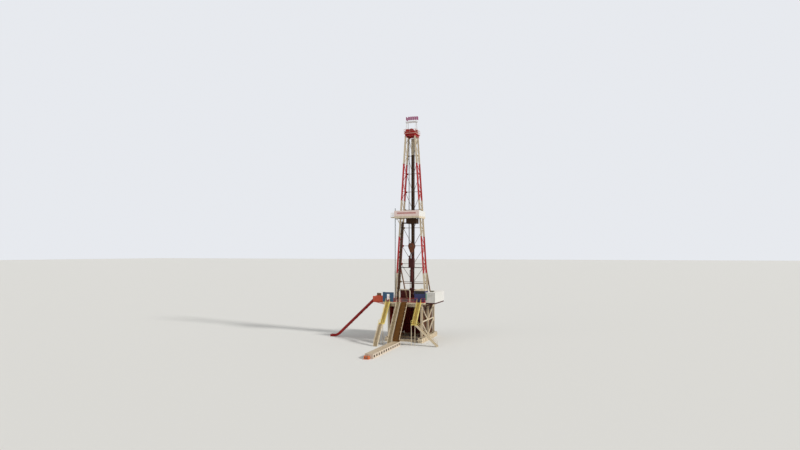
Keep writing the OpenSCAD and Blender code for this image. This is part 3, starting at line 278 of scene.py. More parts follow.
cream = painted("cream_paint", (0.64, 0.53, 0.37), worn=0.4, rust=0.30)
galvanised = painted("galvanised_steel", (0.40, 0.40, 0.38), worn=0.5, rust=0.2, rough=0.4)
wear(cream, "base_frame", "side_frames", "rear_bracing")
column_x, column_rows = 2.3, (-2.8, 0.0, 2.8)
skid_top, girder_under = -4.65, -0.64
end_plate_t, bolt_in = 0.02, 0.145
gusset_places = [(2.56, -0.86), (0.26, -2.47), (2.56, -2.82), (0.26, -4.46)]
gusset_out, gusset_t = 0.077, 0.012
column_bolts, gussets = bmesh.new(), bmesh.new()
for side in (-1, 1):
    for y in column_rows:
        for dx in (-bolt_in, bolt_in):
            for dy in (-bolt_in, 0, bolt_in):
                x = side * column_x + dx
                hex_head(column_bolts, (x, y + dy, skid_top + end_plate_t), (0, 0, 1), 0.024, 0.022)
                hex_head(column_bolts, (x, y + dy, girder_under - end_plate_t), (0, 0, -1), 0.024, 0.022)
    for end in (-1, 1):
        for y, z in gusset_places:
            for face in (-1, 1):
                x = side * column_x + face * gusset_out
                block(gussets, (x, end * y, z), (gusset_t, 0.34, 0.36))
                for dy, dz in [(-0.11, -0.11), (0.11, -0.11), (-0.11, 0.11), (0.11, 0.11), (0, 0)]:
                    hex_head(gussets, (x + face * gusset_t / 2, end * y + dy, z + dz), (face, 0, 0))
finished("column_bolts", column_bolts, galvanised)
finished("brace_gussets", gussets, cream)

# Floor girders and skids. Cream H beams with flat stiffener plates between the flanges of each beam,
# welded square to the web every 0.7 m, which give the long sides their rows of shadows.
wear(cream, "floor_girders")
girder_z, skid_z, skid_out = -0.34, -4.95, 0.26
stiffener_t, stiffener_pitch = 0.012, 0.7
stiffeners = bmesh.new()
for side in (-1, 1):
    for k in range(10):
        y = -2.95 + stiffener_pitch * k
        block(stiffeners, (side * column_x, y, girder_z), (0.236, stiffener_t, 0.555))
        block(stiffeners, (side * (column_x + skid_out), y + 0.1, skid_z), (0.172, stiffener_t, 0.565))
for k in range(9):
    x = -2.0 + 0.5 * k
    for y in (column_rows[0], column_rows[-1]):
        block(stiffeners, (x, y, girder_z), (stiffener_t, 0.19, 0.56))
finished("web_stiffeners", stiffeners, cream)

# Cellar. Ribbed maroon sheets close the space under the floor at its rear and sides; angles are bolted
# into the two rear corners, and ribbed cladding is screwed to the outside of the side sheets. The
# cladding's dark brown is painted shade, as the sides under the floor look in shadow.
cellar_paint = painted("cellar_paint", (0.20, 0.020, 0.014), worn=0.2, rust=0.15, dust=0.0, gleam=0.2)
wear(cellar_paint, "substructure_screen")
sheet_z, sheet_h = (skid_top + girder_under) / 2, girder_under - skid_top
angle_t = 0.010
corner_angles = bmesh.new()
for side in (-1, 1):
    block(corner_angles, (side * 1.994, 2.692, sheet_z), (0.188, angle_t, sheet_h))
    block(corner_angles, (side * 2.082, 2.642, sheet_z), (angle_t, 0.110, sheet_h))
    for k in range(14):
        hex_head(corner_angles, (side * 1.97, 2.687, -4.50 + 0.285 * k), (0, -1, 0), 0.014)
finished("corner_angles", corner_angles, cellar_paint)
# Dark brown cladding: painted shade for the sides under the floor.
painted_shade_cladding = painted("painted_shade_cladding", (0.080, 0.030, 0.012), worn=0.25, rust=0.3, dust=0.0,
                         gleam=0.2)
cladding_x, rib_x, rib_pitch = 2.127, 2.131, 0.305
cladding = bmesh.new()
for side in (-1, 1):
    block(cladding, (side * cladding_x, -0.05, sheet_z), (0.003, 5.50, sheet_h))
    for k in range(18):
        block(cladding, (side * rib_x, -2.65 + rib_pitch * k, sheet_z), (0.005, 0.04, sheet_h))
finished("cellar_cladding", cladding, painted_shade_cladding)

# Drill floor. Maroon steel plates, rusty and worn where the crew walks, round a cast rotary table with two
# bushing rings and a circle of bolts between them; ribbed rubber mats lie on its four sides.
floor_paint = painted("floor_paint", (0.12, 0.022, 0.015), worn=0.3, rust=0.3, rough=0.6, dust=0.03,
                      gleam=0.25)
wear(floor_paint, "drill_floor")
steel = painted("oiled_steel", (0.085, 0.062, 0.052), worn=0.4, rust=0.35, rough=0.4, dust=0.06,
                gleam=0.35)
wear(steel, "rotary_table")
bushing = bmesh.new()
ring_low, ring_top, bolt_ring = 0.025, 0.040, 0.322
for radius_out, radius_in in [(0.300, 0.245), (0.395, 0.345)]:
    spun = [bushing.verts.new((r, 0, z)) for r, z in [
        (radius_in, ring_low), (radius_out, ring_low), (radius_out, ring_top), (radius_in, ring_top)
    ]]
    loop = [bushing.edges.new((spun[k], spun[(k + 1) % 4])) for k in range(4)]
    bmesh.ops.spin(bushing, geom=spun + loop, cent=(0, 0, 0), axis=(0, 0, 1), angle=math.tau,
                   steps=48, use_merge=True)
for k in range(8):
    turn = math.radians(45 * k + 22.5)
    hex_head(bushing, (bolt_ring * math.cos(turn), bolt_ring * math.sin(turn), 0.024), (0, 0, 1), 0.012)
finished("rotary_bushings", bushing, steel)

rubber = painted("floor_rubber", (0.018, 0.018, 0.019), worn=0.2, rust=0.0, rough=0.7, dust=0.08)
mat_t = 0.012
mats = bmesh.new()
for x, y, mat_l, mat_w in [(0, -0.75, 1.9, 0.55), (0, 0.75, 1.9, 0.55), (-0.79, 0, 0.32, 0.92),
                           (0.79, 0, 0.32, 0.92)]:
    block(mats, (x, y, mat_t / 2), (mat_l, mat_w, mat_t))
    for k in (-1, 0, 1):
        block(mats, (x, y + k * mat_w / 3, 0.0135), (mat_l * 0.96, 0.02, 0.004))
finished("rotary_mats", mats, rubber)

# Railings and wind walls. Red handrails with toe boards on small bolted feet, a teal-blue ribbed wall on
# the left with a doorway at the head of the stair, and a long maroon ribbed wall at the rear of the floor.
# The maroon is made dark partly as painted shade, so that the rear of the floor looks shaded through
# the V-door.
red = painted("red_paint", (0.50, 0.024, 0.022), worn=0.30, rust=0.22)
wear(red, "floor_railing")
teal = painted("teal_paint", (0.022, 0.085, 0.17), worn=0.3, rust=0.15, dust=0.25)
wear(teal, "wind_wall_left")
# Dark maroon, partly painted shade; it is also used on the doghouse bracket and the drawworks.
maroon = painted("maroon_and_shade_paint", (0.080, 0.012, 0.009), worn=0.2, rust=0.3, dust=0.05, gleam=0.2)
wear(maroon, "rear_wind_wall")
front_rail_y, rear_rail_y = -3.037, 3.687
foot_t, post_half = 0.012, 0.013
feet = bmesh.new()
for x_low, x_high, y, posts in [(-1.54, -1.10, front_rail_y, 2), (0.80, 1.75, front_rail_y, 2),
                                (2.31, 2.74, front_rail_y, 2), (1.27, 2.74, rear_rail_y, 3)]:
    for k in range(posts):
        x = x_low + post_half + (x_high - x_low - 2 * post_half) * k / (posts - 1)
        block(feet, (x, y, foot_t / 2), (0.085, 0.085 if y > 0 else 0.06, foot_t))
        for dx in (-0.03, 0.03):
            hex_head(feet, (x + dx, y, foot_t), (0, 0, 1), 0.009, 0.008)
finished("railing_feet", feet, red)

# Driller's cabin. A blue box whose roof has a deep cream edge, with a band of black glass straight under
# it; rubber strips hold the panes, wipers stand in front of them, and a vent sits on the ribbed roof.


def strut(mesh, start, end, width, depth=None):
    """Adds a bar of square or flat section from start to end."""
    run = Vector(end) - Vector(start)
    middle = (Vector(start) + Vector(end)) / 2
    block(mesh, middle, (width, depth or width, run.length), run.to_track_quat("Z", "Y").to_matrix())


def softened(mesh, made, offset):
    """Rounds the edges of a block that has just been made."""
    bmesh.ops.bevel(mesh, geom=list({e for v in made for e in v.link_edges}), offset=offset, segments=2,
                    affect="EDGES", profile=0.5, material=-1)


fascia_z = 1.47
cabin_blue = painted("cabin_paint", (0.022, 0.030, 0.125), worn=0.3, rust=0.12, dust=0.3,
                     split=(fascia_z, (0.60, 0.49, 0.33)))
wear(cabin_blue, "driller_cabin")
glass = bpy.data.materials.new("dark_glass")
glass.use_nodes = True
glass_shader = glass.node_tree.nodes["Principled BSDF"]
glass_shader.inputs["Base Color"].default_value = (0.008, 0.010, 0.012, 1)
glass_shader.inputs["Roughness"].default_value = 0.08
wear(glass, "window_glass")
gasket = painted("black_rubber", (0.012, 0.012, 0.013), worn=0.1, rust=0.0, rough=0.6, dust=0.1)
sill, head = 1.10, 1.45
pane_front, pane_left = -2.355, 1.145
strip_w, strip_t = 0.028, 0.02
gaskets = bmesh.new()
for x in (1.25, 1.685, 2.115, 2.55):
    block(gaskets, (x, pane_front, (sill + head) / 2), (strip_w, strip_t, head - sill + 0.03))
for y in (-2.25, -1.885, -1.515, -1.15):
    block(gaskets, (pane_left, y, (sill + head) / 2), (strip_t, strip_w, head - sill + 0.03))
for z in (sill, head):
    block(gaskets, (1.9, pane_front, z), (1.33, strip_t, strip_w))
    block(gaskets, (pane_left, -1.7, z), (strip_t, 1.13, strip_w))
finished("cabin_gaskets", gaskets, gasket)
roof_top = 1.60
cabin_top = bmesh.new()
for k in range(9):
    block(cabin_top, (1.24 + 0.165 * k, -1.70, roof_top + 0.006), (0.05, 1.26, 0.014))
softened(cabin_top, block(cabin_top, (1.90, -1.45, roof_top + 0.06), (0.34, 0.30, 0.12)), 0.015)
finished("cabin_roof", cabin_top, cream)
wiper_y = -2.372
wipers = bmesh.new()
for x in (1.47, 1.90, 2.33):
    strut(wipers, (x - 0.06, wiper_y, 1.13), (x + 0.07, wiper_y, 1.38), 0.012)
    block(wipers, (x - 0.06, wiper_y, 1.115), (0.05, 0.02, 0.03))
finished("cabin_wipers", wipers, gasket)

# Doghouse. A white steel hut on a maroon bracket, its front trimmed and louvred, its roof and the machine
# box on it dark. A pale green hose box is bolted to its front, and the door stands open against the wall.
wear(maroon, "doghouse_bracket")
roof_z = 1.318
white = painted("white_paint", (0.68, 0.66, 0.61), worn=0.2, rust=0.10, dust=0.15,
                split=(roof_z, (0.10, 0.09, 0.05)))
wear(white, "doghouse")
plain_white = painted("plain_white_paint", (0.68, 0.66, 0.61), worn=0.2, rust=0.08, dust=0.15)
hut_x, hut_front, post_z = 3.4, -2.512, 0.595
dog_trim = bmesh.new()
for x in (2.78, 4.02):
    block(dog_trim, (x, hut_front, post_z), (0.05, 0.024, 1.28))
for x in (2.96, 3.15, 3.65, 3.84):
    block(dog_trim, (x, hut_front + 0.004, post_z), (0.035, 0.016, 1.20))
block(dog_trim, (hut_x, hut_front, 1.21), (1.24, 0.024, 0.05))
for k in range(7):
    block(dog_trim, (hut_x, hut_front, 0.75 + 0.045 * k), (0.42, 0.03, 0.018))
block(dog_trim, (2.738, -1.10, 0.50), (0.022, 0.44, 0.98))
finished("doghouse_trim", dog_trim, plain_white)
hose_box = bmesh.new()
softened(hose_box, block(hose_box, (2.845, -2.545, 0.72), (0.16, 0.07, 0.86)), 0.012)
block(hose_box, (2.905, -2.585, 0.72), (0.012, 0.014, 0.12))
finished("hose_box", hose_box, painted("pale_green_paint", (0.20, 0.36, 0.27), worn=0.3, rust=0.1))

# V-door and ramp. A cream portal with rounded corners, welded of plate, at the floor's edge, and a ramp of
# thick plate, brown with rust; pipes are drawn up it. Crooked cream posts stand along its right side.
wear(cream, "v_door_frame")
brown = painted("ramp_steel", (0.115, 0.046, 0.006), worn=0.2, rust=0.25, rough=0.65, dust=0.0,
                gleam=0.15)
wear(brown, "v_door_ramp")
floor_edge = -3.05
ramp_slope = math.radians(54)
ramp_down = Vector((0, -math.cos(ramp_slope), -math.sin(ramp_slope)))
ramp_up = Vector((0, -math.sin(ramp_slope), math.cos(ramp_slope)))
ramp_head = Vector((0, floor_edge, 0))
ramp_posts = bmesh.new()
pushes = random.Random(4)
for k in range(9):
    foot = ramp_head + ramp_down * (0.35 + 0.60 * k) + Vector((0.435, 0, 0))
    lean = Vector((pushes.uniform(-0.02, 0.05), pushes.uniform(-0.05, 0.05), 0))
    strut(ramp_posts, foot, foot + ramp_up * 0.34 + lean, 0.05, 0.03)
curb = Vector((0.44, 0, 0))
strut(ramp_posts, ramp_head + ramp_down * 0.1 + curb + ramp_up * 0.07,
      ramp_head + ramp_down * 5.6 + curb + ramp_up * 0.07, 0.036, 0.07)
finished("ramp_side_posts", ramp_posts, cream)

# Stairs. Folded steel treads with turned-down fronts, so that each flight looks closed from below. The side
# stairs are yellow above their landings and cream below them, the straight stair beside the ramp all cream.
step_h, tread_w = 0.105, 0.50


def risers(mesh, top, direction, rise, run, width):
    """Adds a plate behind each tread of a flight that goes down from top along direction."""
    count = round(rise / step_h)
    ahead = Vector(direction)
    for i in range(count):
        middle = Vector(top) + ahead * (run * (i + 0.5) / count) - Vector((0, 0, rise * (i + 0.5) / count))
        size = (width, 0.010, rise / count) if abs(ahead.y) > 0.5 else (0.010, width, rise / count)
        block(mesh, middle + ahead * 0.02, size)


landing_z = -2.70
yellow = painted("yellow_paint", (0.66, 0.55, 0.38), worn=0.35, rust=0.25,
                 split=(landing_z, (0.72, 0.57, 0.16)), gleam=0.3)
wear(yellow, "side_stairs")
wear(cream, "ramp_stair")
worn_treads = painted("worn_yellow_treads", (0.42, 0.32, 0.18), worn=0.5, rust=0.35,
                      split=(landing_z, (0.43, 0.28, 0.055)))
half_rise = 2.625
flight_run = half_rise / math.tan(math.radians(52))
lower_run = half_rise / math.tan(math.radians(42))
left_stair_x, right_stair_x, ramp_stair_x = -2.325, 2.025, -0.812
stair_faces = bmesh.new()
for x in (left_stair_x, right_stair_x):
    risers(stair_faces, (x, floor_edge, 0), (0, -1, 0), half_rise, flight_run, tread_w)
risers(stair_faces, (left_stair_x, floor_edge - flight_run - 0.56, -half_rise), (0, -1, 0), half_rise,
       flight_run, tread_w)
risers(stair_faces, (right_stair_x + 0.272, floor_edge - flight_run - 0.281, -half_rise), (1, 0, 0),
       half_rise, lower_run, tread_w)
finished("stair_risers", stair_faces, worn_treads)
ramp_risers = bmesh.new()
risers(ramp_risers, (ramp_stair_x, floor_edge, 0), (0, -1, 0), 2 * half_rise,
       2 * half_rise / math.tan(ramp_slope), tread_w)
finished("ramp_stair_risers", ramp_risers, painted("worn_cream_treads", (0.27, 0.195, 0.075), dust=0.1))

# Escape way. An orange-red platform between panels on posts, with a brown hood on the rear panel, and a
# dark red half pipe down to the ground in bolted lengths, each joint with two flanges and upright lugs.
panel_top_z = 0.66
orange = painted("orange_paint", (0.62, 0.075, 0.018), worn=0.35, rust=0.2,
                 split=(panel_top_z, (0.15, 0.07, 0.02)))
wear(orange, "escape_platform")
slide_red = painted("slide_red_paint", (0.33, 0.008, 0.007), worn=0.25, rust=0.25, dust=0.03, gleam=0.3)
wear(slide_red, "escape_slide")
slide_slope, slide_length = math.radians(43), 1.05
slide_head = Vector((-4.75, -2.0, 0.225))
slide_down = Vector((-math.cos(slide_slope), 0, -math.sin(slide_slope)))
slide_out = Vector((-math.sin(slide_slope), 0, math.cos(slide_slope)))
flange_in, flange_out, flange_half = 0.242, 0.285, 0.008
flanges = bmesh.new()
for k in range(6):
    for gap in (-0.012, 0.012):
        centre = slide_head + slide_down * (slide_length * (k + 0.6) + gap)
        rim = [flanges.verts.new(centre + Vector((0, 1, 0)) * r + slide_down * t)
               for r, t in [(flange_in, -flange_half), (flange_out, -flange_half),
                            (flange_out, flange_half), (flange_in, flange_half)]]
        loop = [flanges.edges.new((rim[j], rim[(j + 1) % 4])) for j in range(4)]
        made = bmesh.ops.spin(flanges, geom=rim + loop, cent=centre, axis=slide_down, angle=math.pi,
                              steps=18)
        bmesh.ops.contextual_create(flanges, geom=rim)
        bmesh.ops.contextual_create(flanges, geom=[v for v in made["geom_last"]
                                                   if isinstance(v, bmesh.types.BMVert)])
        for side in (-1, 1):
            strut(flanges, centre + Vector((0, side * 0.262, 0)) - slide_out * 0.004,
                  centre + Vector((0, side * 0.262, 0)) + slide_out * 0.074, 0.040, 0.016)
finished("slide_flanges", flanges, slide_red)

# Catwalk and its winch. Pale cream sides with a row of openings, and a worn steel deck in plates with a
# pipe groove between two welded bars along its middle; an orange winch stands at its near end.
pale = painted("pale_cream_paint", (0.62, 0.51, 0.39), worn=0.4, rust=0.2, dust=0.5)
wear(pale, "catwalk")
wear(painted("winch_paint", (0.60, 0.13, 0.03), worn=0.3, rust=0.2), "catwalk_winch")
deck_z, deck_near, deck_mid, plate_l = -4.715, -15.176, -10.676, 0.75
deck = bmesh.new()
for k in range(12):
    y = deck_near + plate_l * (k + 0.5)
    for x in (-0.29, 0.29):
        block(deck, (x, y, deck_z + 0.004), (0.38, 0.73, 0.008))
for x in (-0.075, 0.075):
    block(deck, (x, deck_mid, deck_z + 0.012), (0.03, 8.9, 0.024))
finished("catwalk_deck", deck, painted("worn_deck", (0.42, 0.33, 0.22), worn=0.5, rust=0.45, dust=0.5))

# Mast. Five pairs of H legs with lattice sides, banded in cream and red, on pinned shoes and bolted at four
# joints, with small stiffeners in the legs and bolts in the gussets of the back bracing; brown props behind.
wear(cream, "mast_section_1", "mast_section_3", "mast_section_5")
wear(red, "mast_section_2", "mast_section_4")
wear(steel, "mast_shoes")
wear(painted("rear_prop_paint", (0.36, 0.22, 0.13), worn=0.4, rust=0.4), "raking_legs")
# The back bracing's dark brown is painted shade: pale bracing as it looks in shadow.
wear(painted("back_brace_shade_paint", (0.24, 0.17, 0.10), worn=0.3, rust=0.4), "mast_back_bracing")
mast_h, foot_half, head_half, mast_half_depth = 22.5, 2.15, 0.675, 0.65
taper = math.atan((foot_half - head_half) / mast_h)
panel_h, plate_pitch = 2.5, 0.625
joint_z = (3.75, 8.75, 13.75, 18.75)
back_face_y = 0.744


def leg_x(z):
    """Distance of a leg's axis from the middle at the height z."""
    return foot_half - (foot_half - head_half) * z / mast_h


def band_at(z):
    """Colour of the mast at the height z: the sections between its joints take turns."""
    return ("cream", "red")[sum(z > joint for joint in joint_z) % 2]


splice_bolts, gusset_bolts = bmesh.new(), bmesh.new()
leg_plates = {"cream": bmesh.new(), "red": bmesh.new()}
for side in (-1, 1):
    lean = Matrix.Rotation(-side * taper, 3, "Y")
    up = lean @ Vector((0, 0, 1))
    for y in (-mast_half_depth, mast_half_depth):
        for z in joint_z:
            centre = Vector((side * leg_x(z), y, z))
            for dx, dy in [(-0.105, -0.105), (0.105, -0.105), (-0.105, 0.105), (0.105, 0.105),
                           (0, -0.108), (0, 0.108)]:
                place = centre + lean @ Vector((dx, dy, -0.034))
                round_bar(splice_bolts, place, place + up * 0.068, 0.014, 6)
        for k in range(1, 36):
            z = plate_pitch * k
            if min(abs(z - j) for j in joint_z) < 0.1:
                continue
            for dx in (-0.052, 0.052):
                block(leg_plates[band_at(z)], Vector((side * leg_x(z), y, z)) + lean @ Vector((dx, 0, 0)),
                      (0.084, 0.150, 0.010), lean)
    for i in range(1, 9):
        z = i * panel_h
        for dx in (0.12, 0.19, 0.25):
            for dz in (-0.09, 0, 0.09):
                x = side * (leg_x(z) - dx)
                hex_head(gusset_bolts, (x, back_face_y, z + dz), (0, 1, 0), 0.014)
finished("splice_bolts", splice_bolts, galvanised)
finished("gusset_bolts", gusset_bolts, galvanised)
finished("leg_plates_cream", leg_plates["cream"], cream)
finished("leg_plates_red", leg_plates["red"], red)

# Fine bracing of the mast's sides. Flat bars bolted to the inside of the legs between the main diagonals, as
# short rungs and counter diagonals, in the colour of their band.
fine_bars = {"cream": bmesh.new(), "red": bmesh.new()}
for side in (-1, 1):
    for k in range(36):
        z = plate_pitch * (k + 0.5)
        bars, rung_x = fine_bars[band_at(z)], side * (leg_x(z) - 0.052)
        strut(bars, (rung_x, -0.62, z), (rung_x, 0.62, z), 0.034, 0.016)
        reach = -0.60 if k % 4 in (0, 1) else 0.60
        low = Vector((side * (leg_x(z) - 0.068), reach, z))
        high = Vector((side * (leg_x(z + 0.5) - 0.068), 0, z + 0.5))
        strut(bars, low, high, 0.030, 0.014)
finished("fine_bars_cream", fine_bars["cream"], cream)
finished("fine_bars_red", fine_bars["red"], red)

# Standpipe and service pipes. Brown pipes for mud, air and cables climb the inside of the left legs from
# the floor to the monkeyboard, held by steel clamps every 1.25 m. Their dark brown is partly painted
# shade: they fill the left legs so that these look as dark as if they stood in shadow.
shade_dark_pipe_paint = painted("shade_dark_pipe_paint", (0.080, 0.034, 0.012), worn=0.25, rust=0.35, dust=0.05, gleam=0.25)
pipe_top, clamp_pitch = 11.0, 1.25
pipes = bmesh.new()
for y, radius in [(-0.42, 0.030), (-0.30, 0.045), (-0.16, 0.030), (0.02, 0.055), (0.17, 0.030),
                  (0.33, 0.045)]:
    low, high = 0.10, pipe_top - abs(y)
    x_in = 0.080 + radius
    round_bar(pipes, (-(leg_x(low) - x_in), y, low), (-(leg_x(high) - x_in), y, high), radius, 12)
    for k in range(1, 9):
        z = clamp_pitch * k
        centre = Vector((-(leg_x(z) - x_in), y, z))
        block(pipes, centre, (2 * radius + 0.030, 2 * radius + 0.016, 0.05))
finished("service_pipes", pipes, shade_dark_pipe_paint)

# Ladder. Dark steel rails and rungs in front of the left legs, with a pale closed guard over the lowest
# stretch so that nobody climbs it unasked, and a steel climbing line on small brackets.
ladder_paint = painted("ladder_paint", (0.10, 0.13, 0.115), worn=0.2, rust=0.15, dust=0.05)
wear(ladder_paint, "ladder")
ladder_centre = Vector((-2.05, -1.0, 0))
guard_x, guard_band_x = -2.082, -2.079
climbing_line = bmesh.new()
round_bar(climbing_line, ladder_centre + Vector((0.045, 0, 0.3)),
          ladder_centre + Vector((0.045, 0, 12.55)), 0.006, 8)
for k in range(7):
    block(climbing_line, ladder_centre + Vector((0.025, 0, 0.325 + 2.1 * k)), (0.05, 0.03, 0.02))
finished("climbing_line", climbing_line, ladder_paint)
guard = bmesh.new()
block(guard, (guard_x, -1.0, 2.05), (0.010, 0.27, 3.9))
for z in (0.6, 1.9, 3.2):
    block(guard, (guard_band_x, -1.0, z), (0.018, 0.29, 0.03))
finished("ladder_guard", guard, pale)

# Monkeyboard. A cream deck with steel grating on it round finger bars in a near-black brown, which is
# painted shade for the shaded underside of the board; a pinkish windscreen that has one plain red stripe,
# a white screen on the right, and a small railed landing at the ladder.
board_z = 11.45
wear(cream, "monkeyboard")
wear(painted("banner_sheet", (0.80, 0.62, 0.56), worn=0.2, rust=0.05, dust=0.1), "monkeyboard_screen")
painted_shade_bars = painted("painted_shade_bars", (0.034, 0.014, 0.004), worn=0.15, rust=0.3, dust=0.0, gleam=0.12)
wear(painted_shade_bars, "finger_bars")
stripe = bmesh.new()
block(stripe, (-0.02, -2.253, 11.86), (2.66, 0.004, 0.19))
finished("banner_stripe", stripe, painted("stripe_paint", (0.50, 0.20, 0.18), worn=0.4, rust=0.1))
side_sheet = bmesh.new()
block(side_sheet, (1.753, -0.8, 11.83), (0.004, 2.88, 0.74))
finished("side_sheet", side_sheet, plain_white)
landing_out, landing_mid, landing_in = -2.58, -2.18, -1.78
landing_front, landing_rear = -1.28, -0.72
rail_rises, grating_pitch = (0.28, 0.54), 0.04
landing_rail = bmesh.new()
for y in (landing_front, landing_rear):
    for x in (landing_out, landing_mid, landing_in):
        strut(landing_rail, (x, y, board_z), (x, y, board_z + 0.55), 0.026)
    for z in rail_rises:
        strut(landing_rail, (landing_out, y, board_z + z), (landing_in, y, board_z + z), 0.024)
for z in rail_rises:
    strut(landing_rail, (landing_out, landing_front, board_z + z),
          (landing_out, landing_rear, board_z + z), 0.024)
finished("landing_rail", landing_rail, cream)
board_deck = bmesh.new()
for side in (-1, 1):
    for k in range(70):
        y = -2.2 + grating_pitch * k
        block(board_deck, (side * 1.60, y, board_z + 0.010), (0.26, 0.008, 0.020))
for k in range(84):
    block(board_deck, (-1.68 + grating_pitch * k, -2.13, board_z + 0.010), (0.008, 0.22, 0.020))
finished("board_grating", board_deck, galvanised)

# Crown. A red platform with its sheaves, a dull red railing round it, and a lifting frame that is pale
# above the rail; round bearing caps are bolted over both ends of the sheaves' axle.
crown_red = painted("crown_paint", (0.40, 0.008, 0.007), worn=0.25, rust=0.2, dust=0.05, gleam=0.25)
wear(crown_red, "crown_frame", "crown_sheaves")
rail_top_z, crown_axle_z = 23.45, 23.25
wear(painted("crown_rail_paint", (0.52, 0.26, 0.20), worn=0.3, rust=0.2,
             split=(rail_top_z, (0.72, 0.70, 0.68))), "crown_railing")
cap_in, cap_out, cap_ring = 0.318, 0.345, 0.085
caps = bmesh.new()
for side in (-1, 1):
    round_bar(caps, (0, side * cap_in, crown_axle_z), (0, side * cap_out, crown_axle_z), 0.11, 24)
    for k in range(6):
        turn = math.tau * k / 6
        place = (cap_ring * math.cos(turn), side * cap_out, crown_axle_z + cap_ring * math.sin(turn))
        hex_head(caps, place, (0, side, 0), 0.012)
finished("axle_caps", caps, crown_red)

# Winch line sheaves. Two small sheaves in plate guards stand on the crown platform, one in front and
# one on the right; each guard is a folded red plate with a rounded top, bolted down by its foot, and
# low kick plates close the front edge between them.
platform_z, kick_h = 22.84, 0.31
small_sheave_z = platform_z + 0.33
guards = bmesh.new()
for x_low, x_high, guard_y in [(-0.62, -0.16, -0.72), (0.55, 0.82, 0.10)]:
    middle = (x_low + x_high) / 2
    for y in (guard_y - 0.05, guard_y + 0.05):
        made = block(guards, (middle, y, platform_z + 0.31), (x_high - x_low, 0.016, 0.60))
        top = [v for v in made if v.co.z > platform_z + 0.5]
        corners = [e for v in top for e in v.link_edges if abs(e.verts[0].co.y - e.verts[1].co.y) > 0.01]
        bmesh.ops.bevel(guards, geom=list(set(corners)), offset=0.10, segments=6, affect="EDGES",
                        profile=0.5, material=-1)
    block(guards, (middle, guard_y, platform_z + 0.012), (x_high - x_low + 0.06, 0.22, 0.024))
    for reach, radius, sides in [(0.04, 0.105, 32), (0.08, 0.030, 16)]:
        round_bar(guards, (middle, guard_y - reach, small_sheave_z),
                  (middle, guard_y + reach, small_sheave_z), radius, sides)
    for x in (x_low, x_high):
        for y in (guard_y - 0.09, guard_y + 0.09):
            hex_head(guards, (x, y, platform_z + 0.024), (0, 0, 1), 0.014)
for x_low, x_high in [(-0.80, -0.66), (-0.12, 0.80)]:
    block(guards, ((x_low + x_high) / 2, -0.700, platform_z + kick_h / 2), (x_high - x_low, 0.010, kick_h))
    for x in (x_low + 0.03, x_high - 0.03):
        block(guards, (x, -0.682, platform_z + kick_h / 2), (0.030, 0.026, kick_h))
finished("line_guards", guards, crown_red)

# Lamps. Dark floodlights with a glass front and cooling ribs at the back hang under the lifting beams and
# the monkeyboard and in front of the V-door's head, each on a short steel arm.
lamp_paint = painted("lamp_housing", (0.035, 0.033, 0.032), worn=0.3, rust=0.2)
lamp_glass = bpy.data.materials.new("lamp_glass")
lamp_glass.use_nodes = True
lamp_shader = lamp_glass.node_tree.nodes["Principled BSDF"]
lamp_shader.inputs["Base Color"].default_value = (0.55, 0.57, 0.56, 1)
lamp_shader.inputs["Roughness"].default_value = 0.12
housings, lenses = bmesh.new(), bmesh.new()
lamp_tilt = Matrix.Rotation(math.radians(-35), 3, "X")
for x, y, z in [(-0.66, -0.25, 24.42), (0.66, -0.25, 24.42), (-1.45, -2.20, 11.09), (1.45, -2.20, 11.09),
                (-0.62, -3.13, 1.62), (0.62, -3.13, 1.62)]:
    centre = Vector((x, y, z))
    if z < 2:
        block(housings, (x, -3.075, 1.66), (0.03, 0.06, 0.03))
    softened(housings, block(housings, centre, (0.14, 0.09, 0.11), lamp_tilt), 0.012)
    for k in range(4):
        fin = centre + lamp_tilt @ Vector((0, 0.052, -0.036 + 0.024 * k))
        block(housings, fin, (0.12, 0.02, 0.006), lamp_tilt)
    strut(housings, centre + Vector((0, 0.01, 0.04)), centre + Vector((0, 0.03, 0.10)), 0.02)
    block(lenses, centre + lamp_tilt @ Vector((0, -0.047, 0)), (0.118, 0.006, 0.088), lamp_tilt)
finished("lamp_housings", housings, lamp_paint)
finished("lamp_lenses", lenses, lamp_glass)

# Flags. Six small flags of dyed cotton, each tied by its edge to a steel pole with a ball on top; the poles
# stand on the front lifting beam, and the flags hang with a light ripple.
flag_x = [-0.75 + 0.30 * k for k in range(6)]
flag_y, pole_foot, pole_top, ball_r = -0.25, 24.62, 25.28, 0.012
poles = bmesh.new()
for x in flag_x:
    round_bar(poles, (x, flag_y, pole_foot), (x, flag_y, pole_top - ball_r), 0.007, 10)
    bmesh.ops.create_uvsphere(poles, u_segments=10, v_segments=6, radius=ball_r,
                              matrix=Matrix.Translation((x, flag_y, pole_top - ball_r)))
flag_poles = finished("flag_poles", poles, plain_white)
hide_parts("crown_flags")

cloth = bpy.data.materials.new("flag_cloth")
cloth.use_nodes = True
cloth_tree = cloth.node_tree
cloth_shader = cloth_tree.nodes["Principled BSDF"]
cloth_shader.inputs["Roughness"].default_value = 0.85
cloth_place = cloth_tree.nodes.new("ShaderNodeTexCoord")
cloth_noise = cloth_tree.nodes.new("ShaderNodeTexNoise")
cloth_noise.inputs["Scale"].default_value = 9
cloth_mix = cloth_tree.nodes.new("ShaderNodeMix")
cloth_mix.data_type = "RGBA"
cloth_mix.inputs["A"].default_value = (0.30, 0.055, 0.15, 1)
cloth_mix.inputs["B"].default_value = (0.42, 0.13, 0.25, 1)
cloth_tree.links.new(cloth_place.outputs["Object"], cloth_noise.inputs["Vector"])
cloth_tree.links.new(cloth_noise.outputs["Fac"], cloth_mix.inputs["Factor"])
cloth_tree.links.new(cloth_mix.outputs["Result"], cloth_shader.inputs["Base Color"])
flag_w, flag_h = 0.27, 0.48
flag_sags = (0.17, 0.03, 0.02, 0.05, 0.08, 0.13)
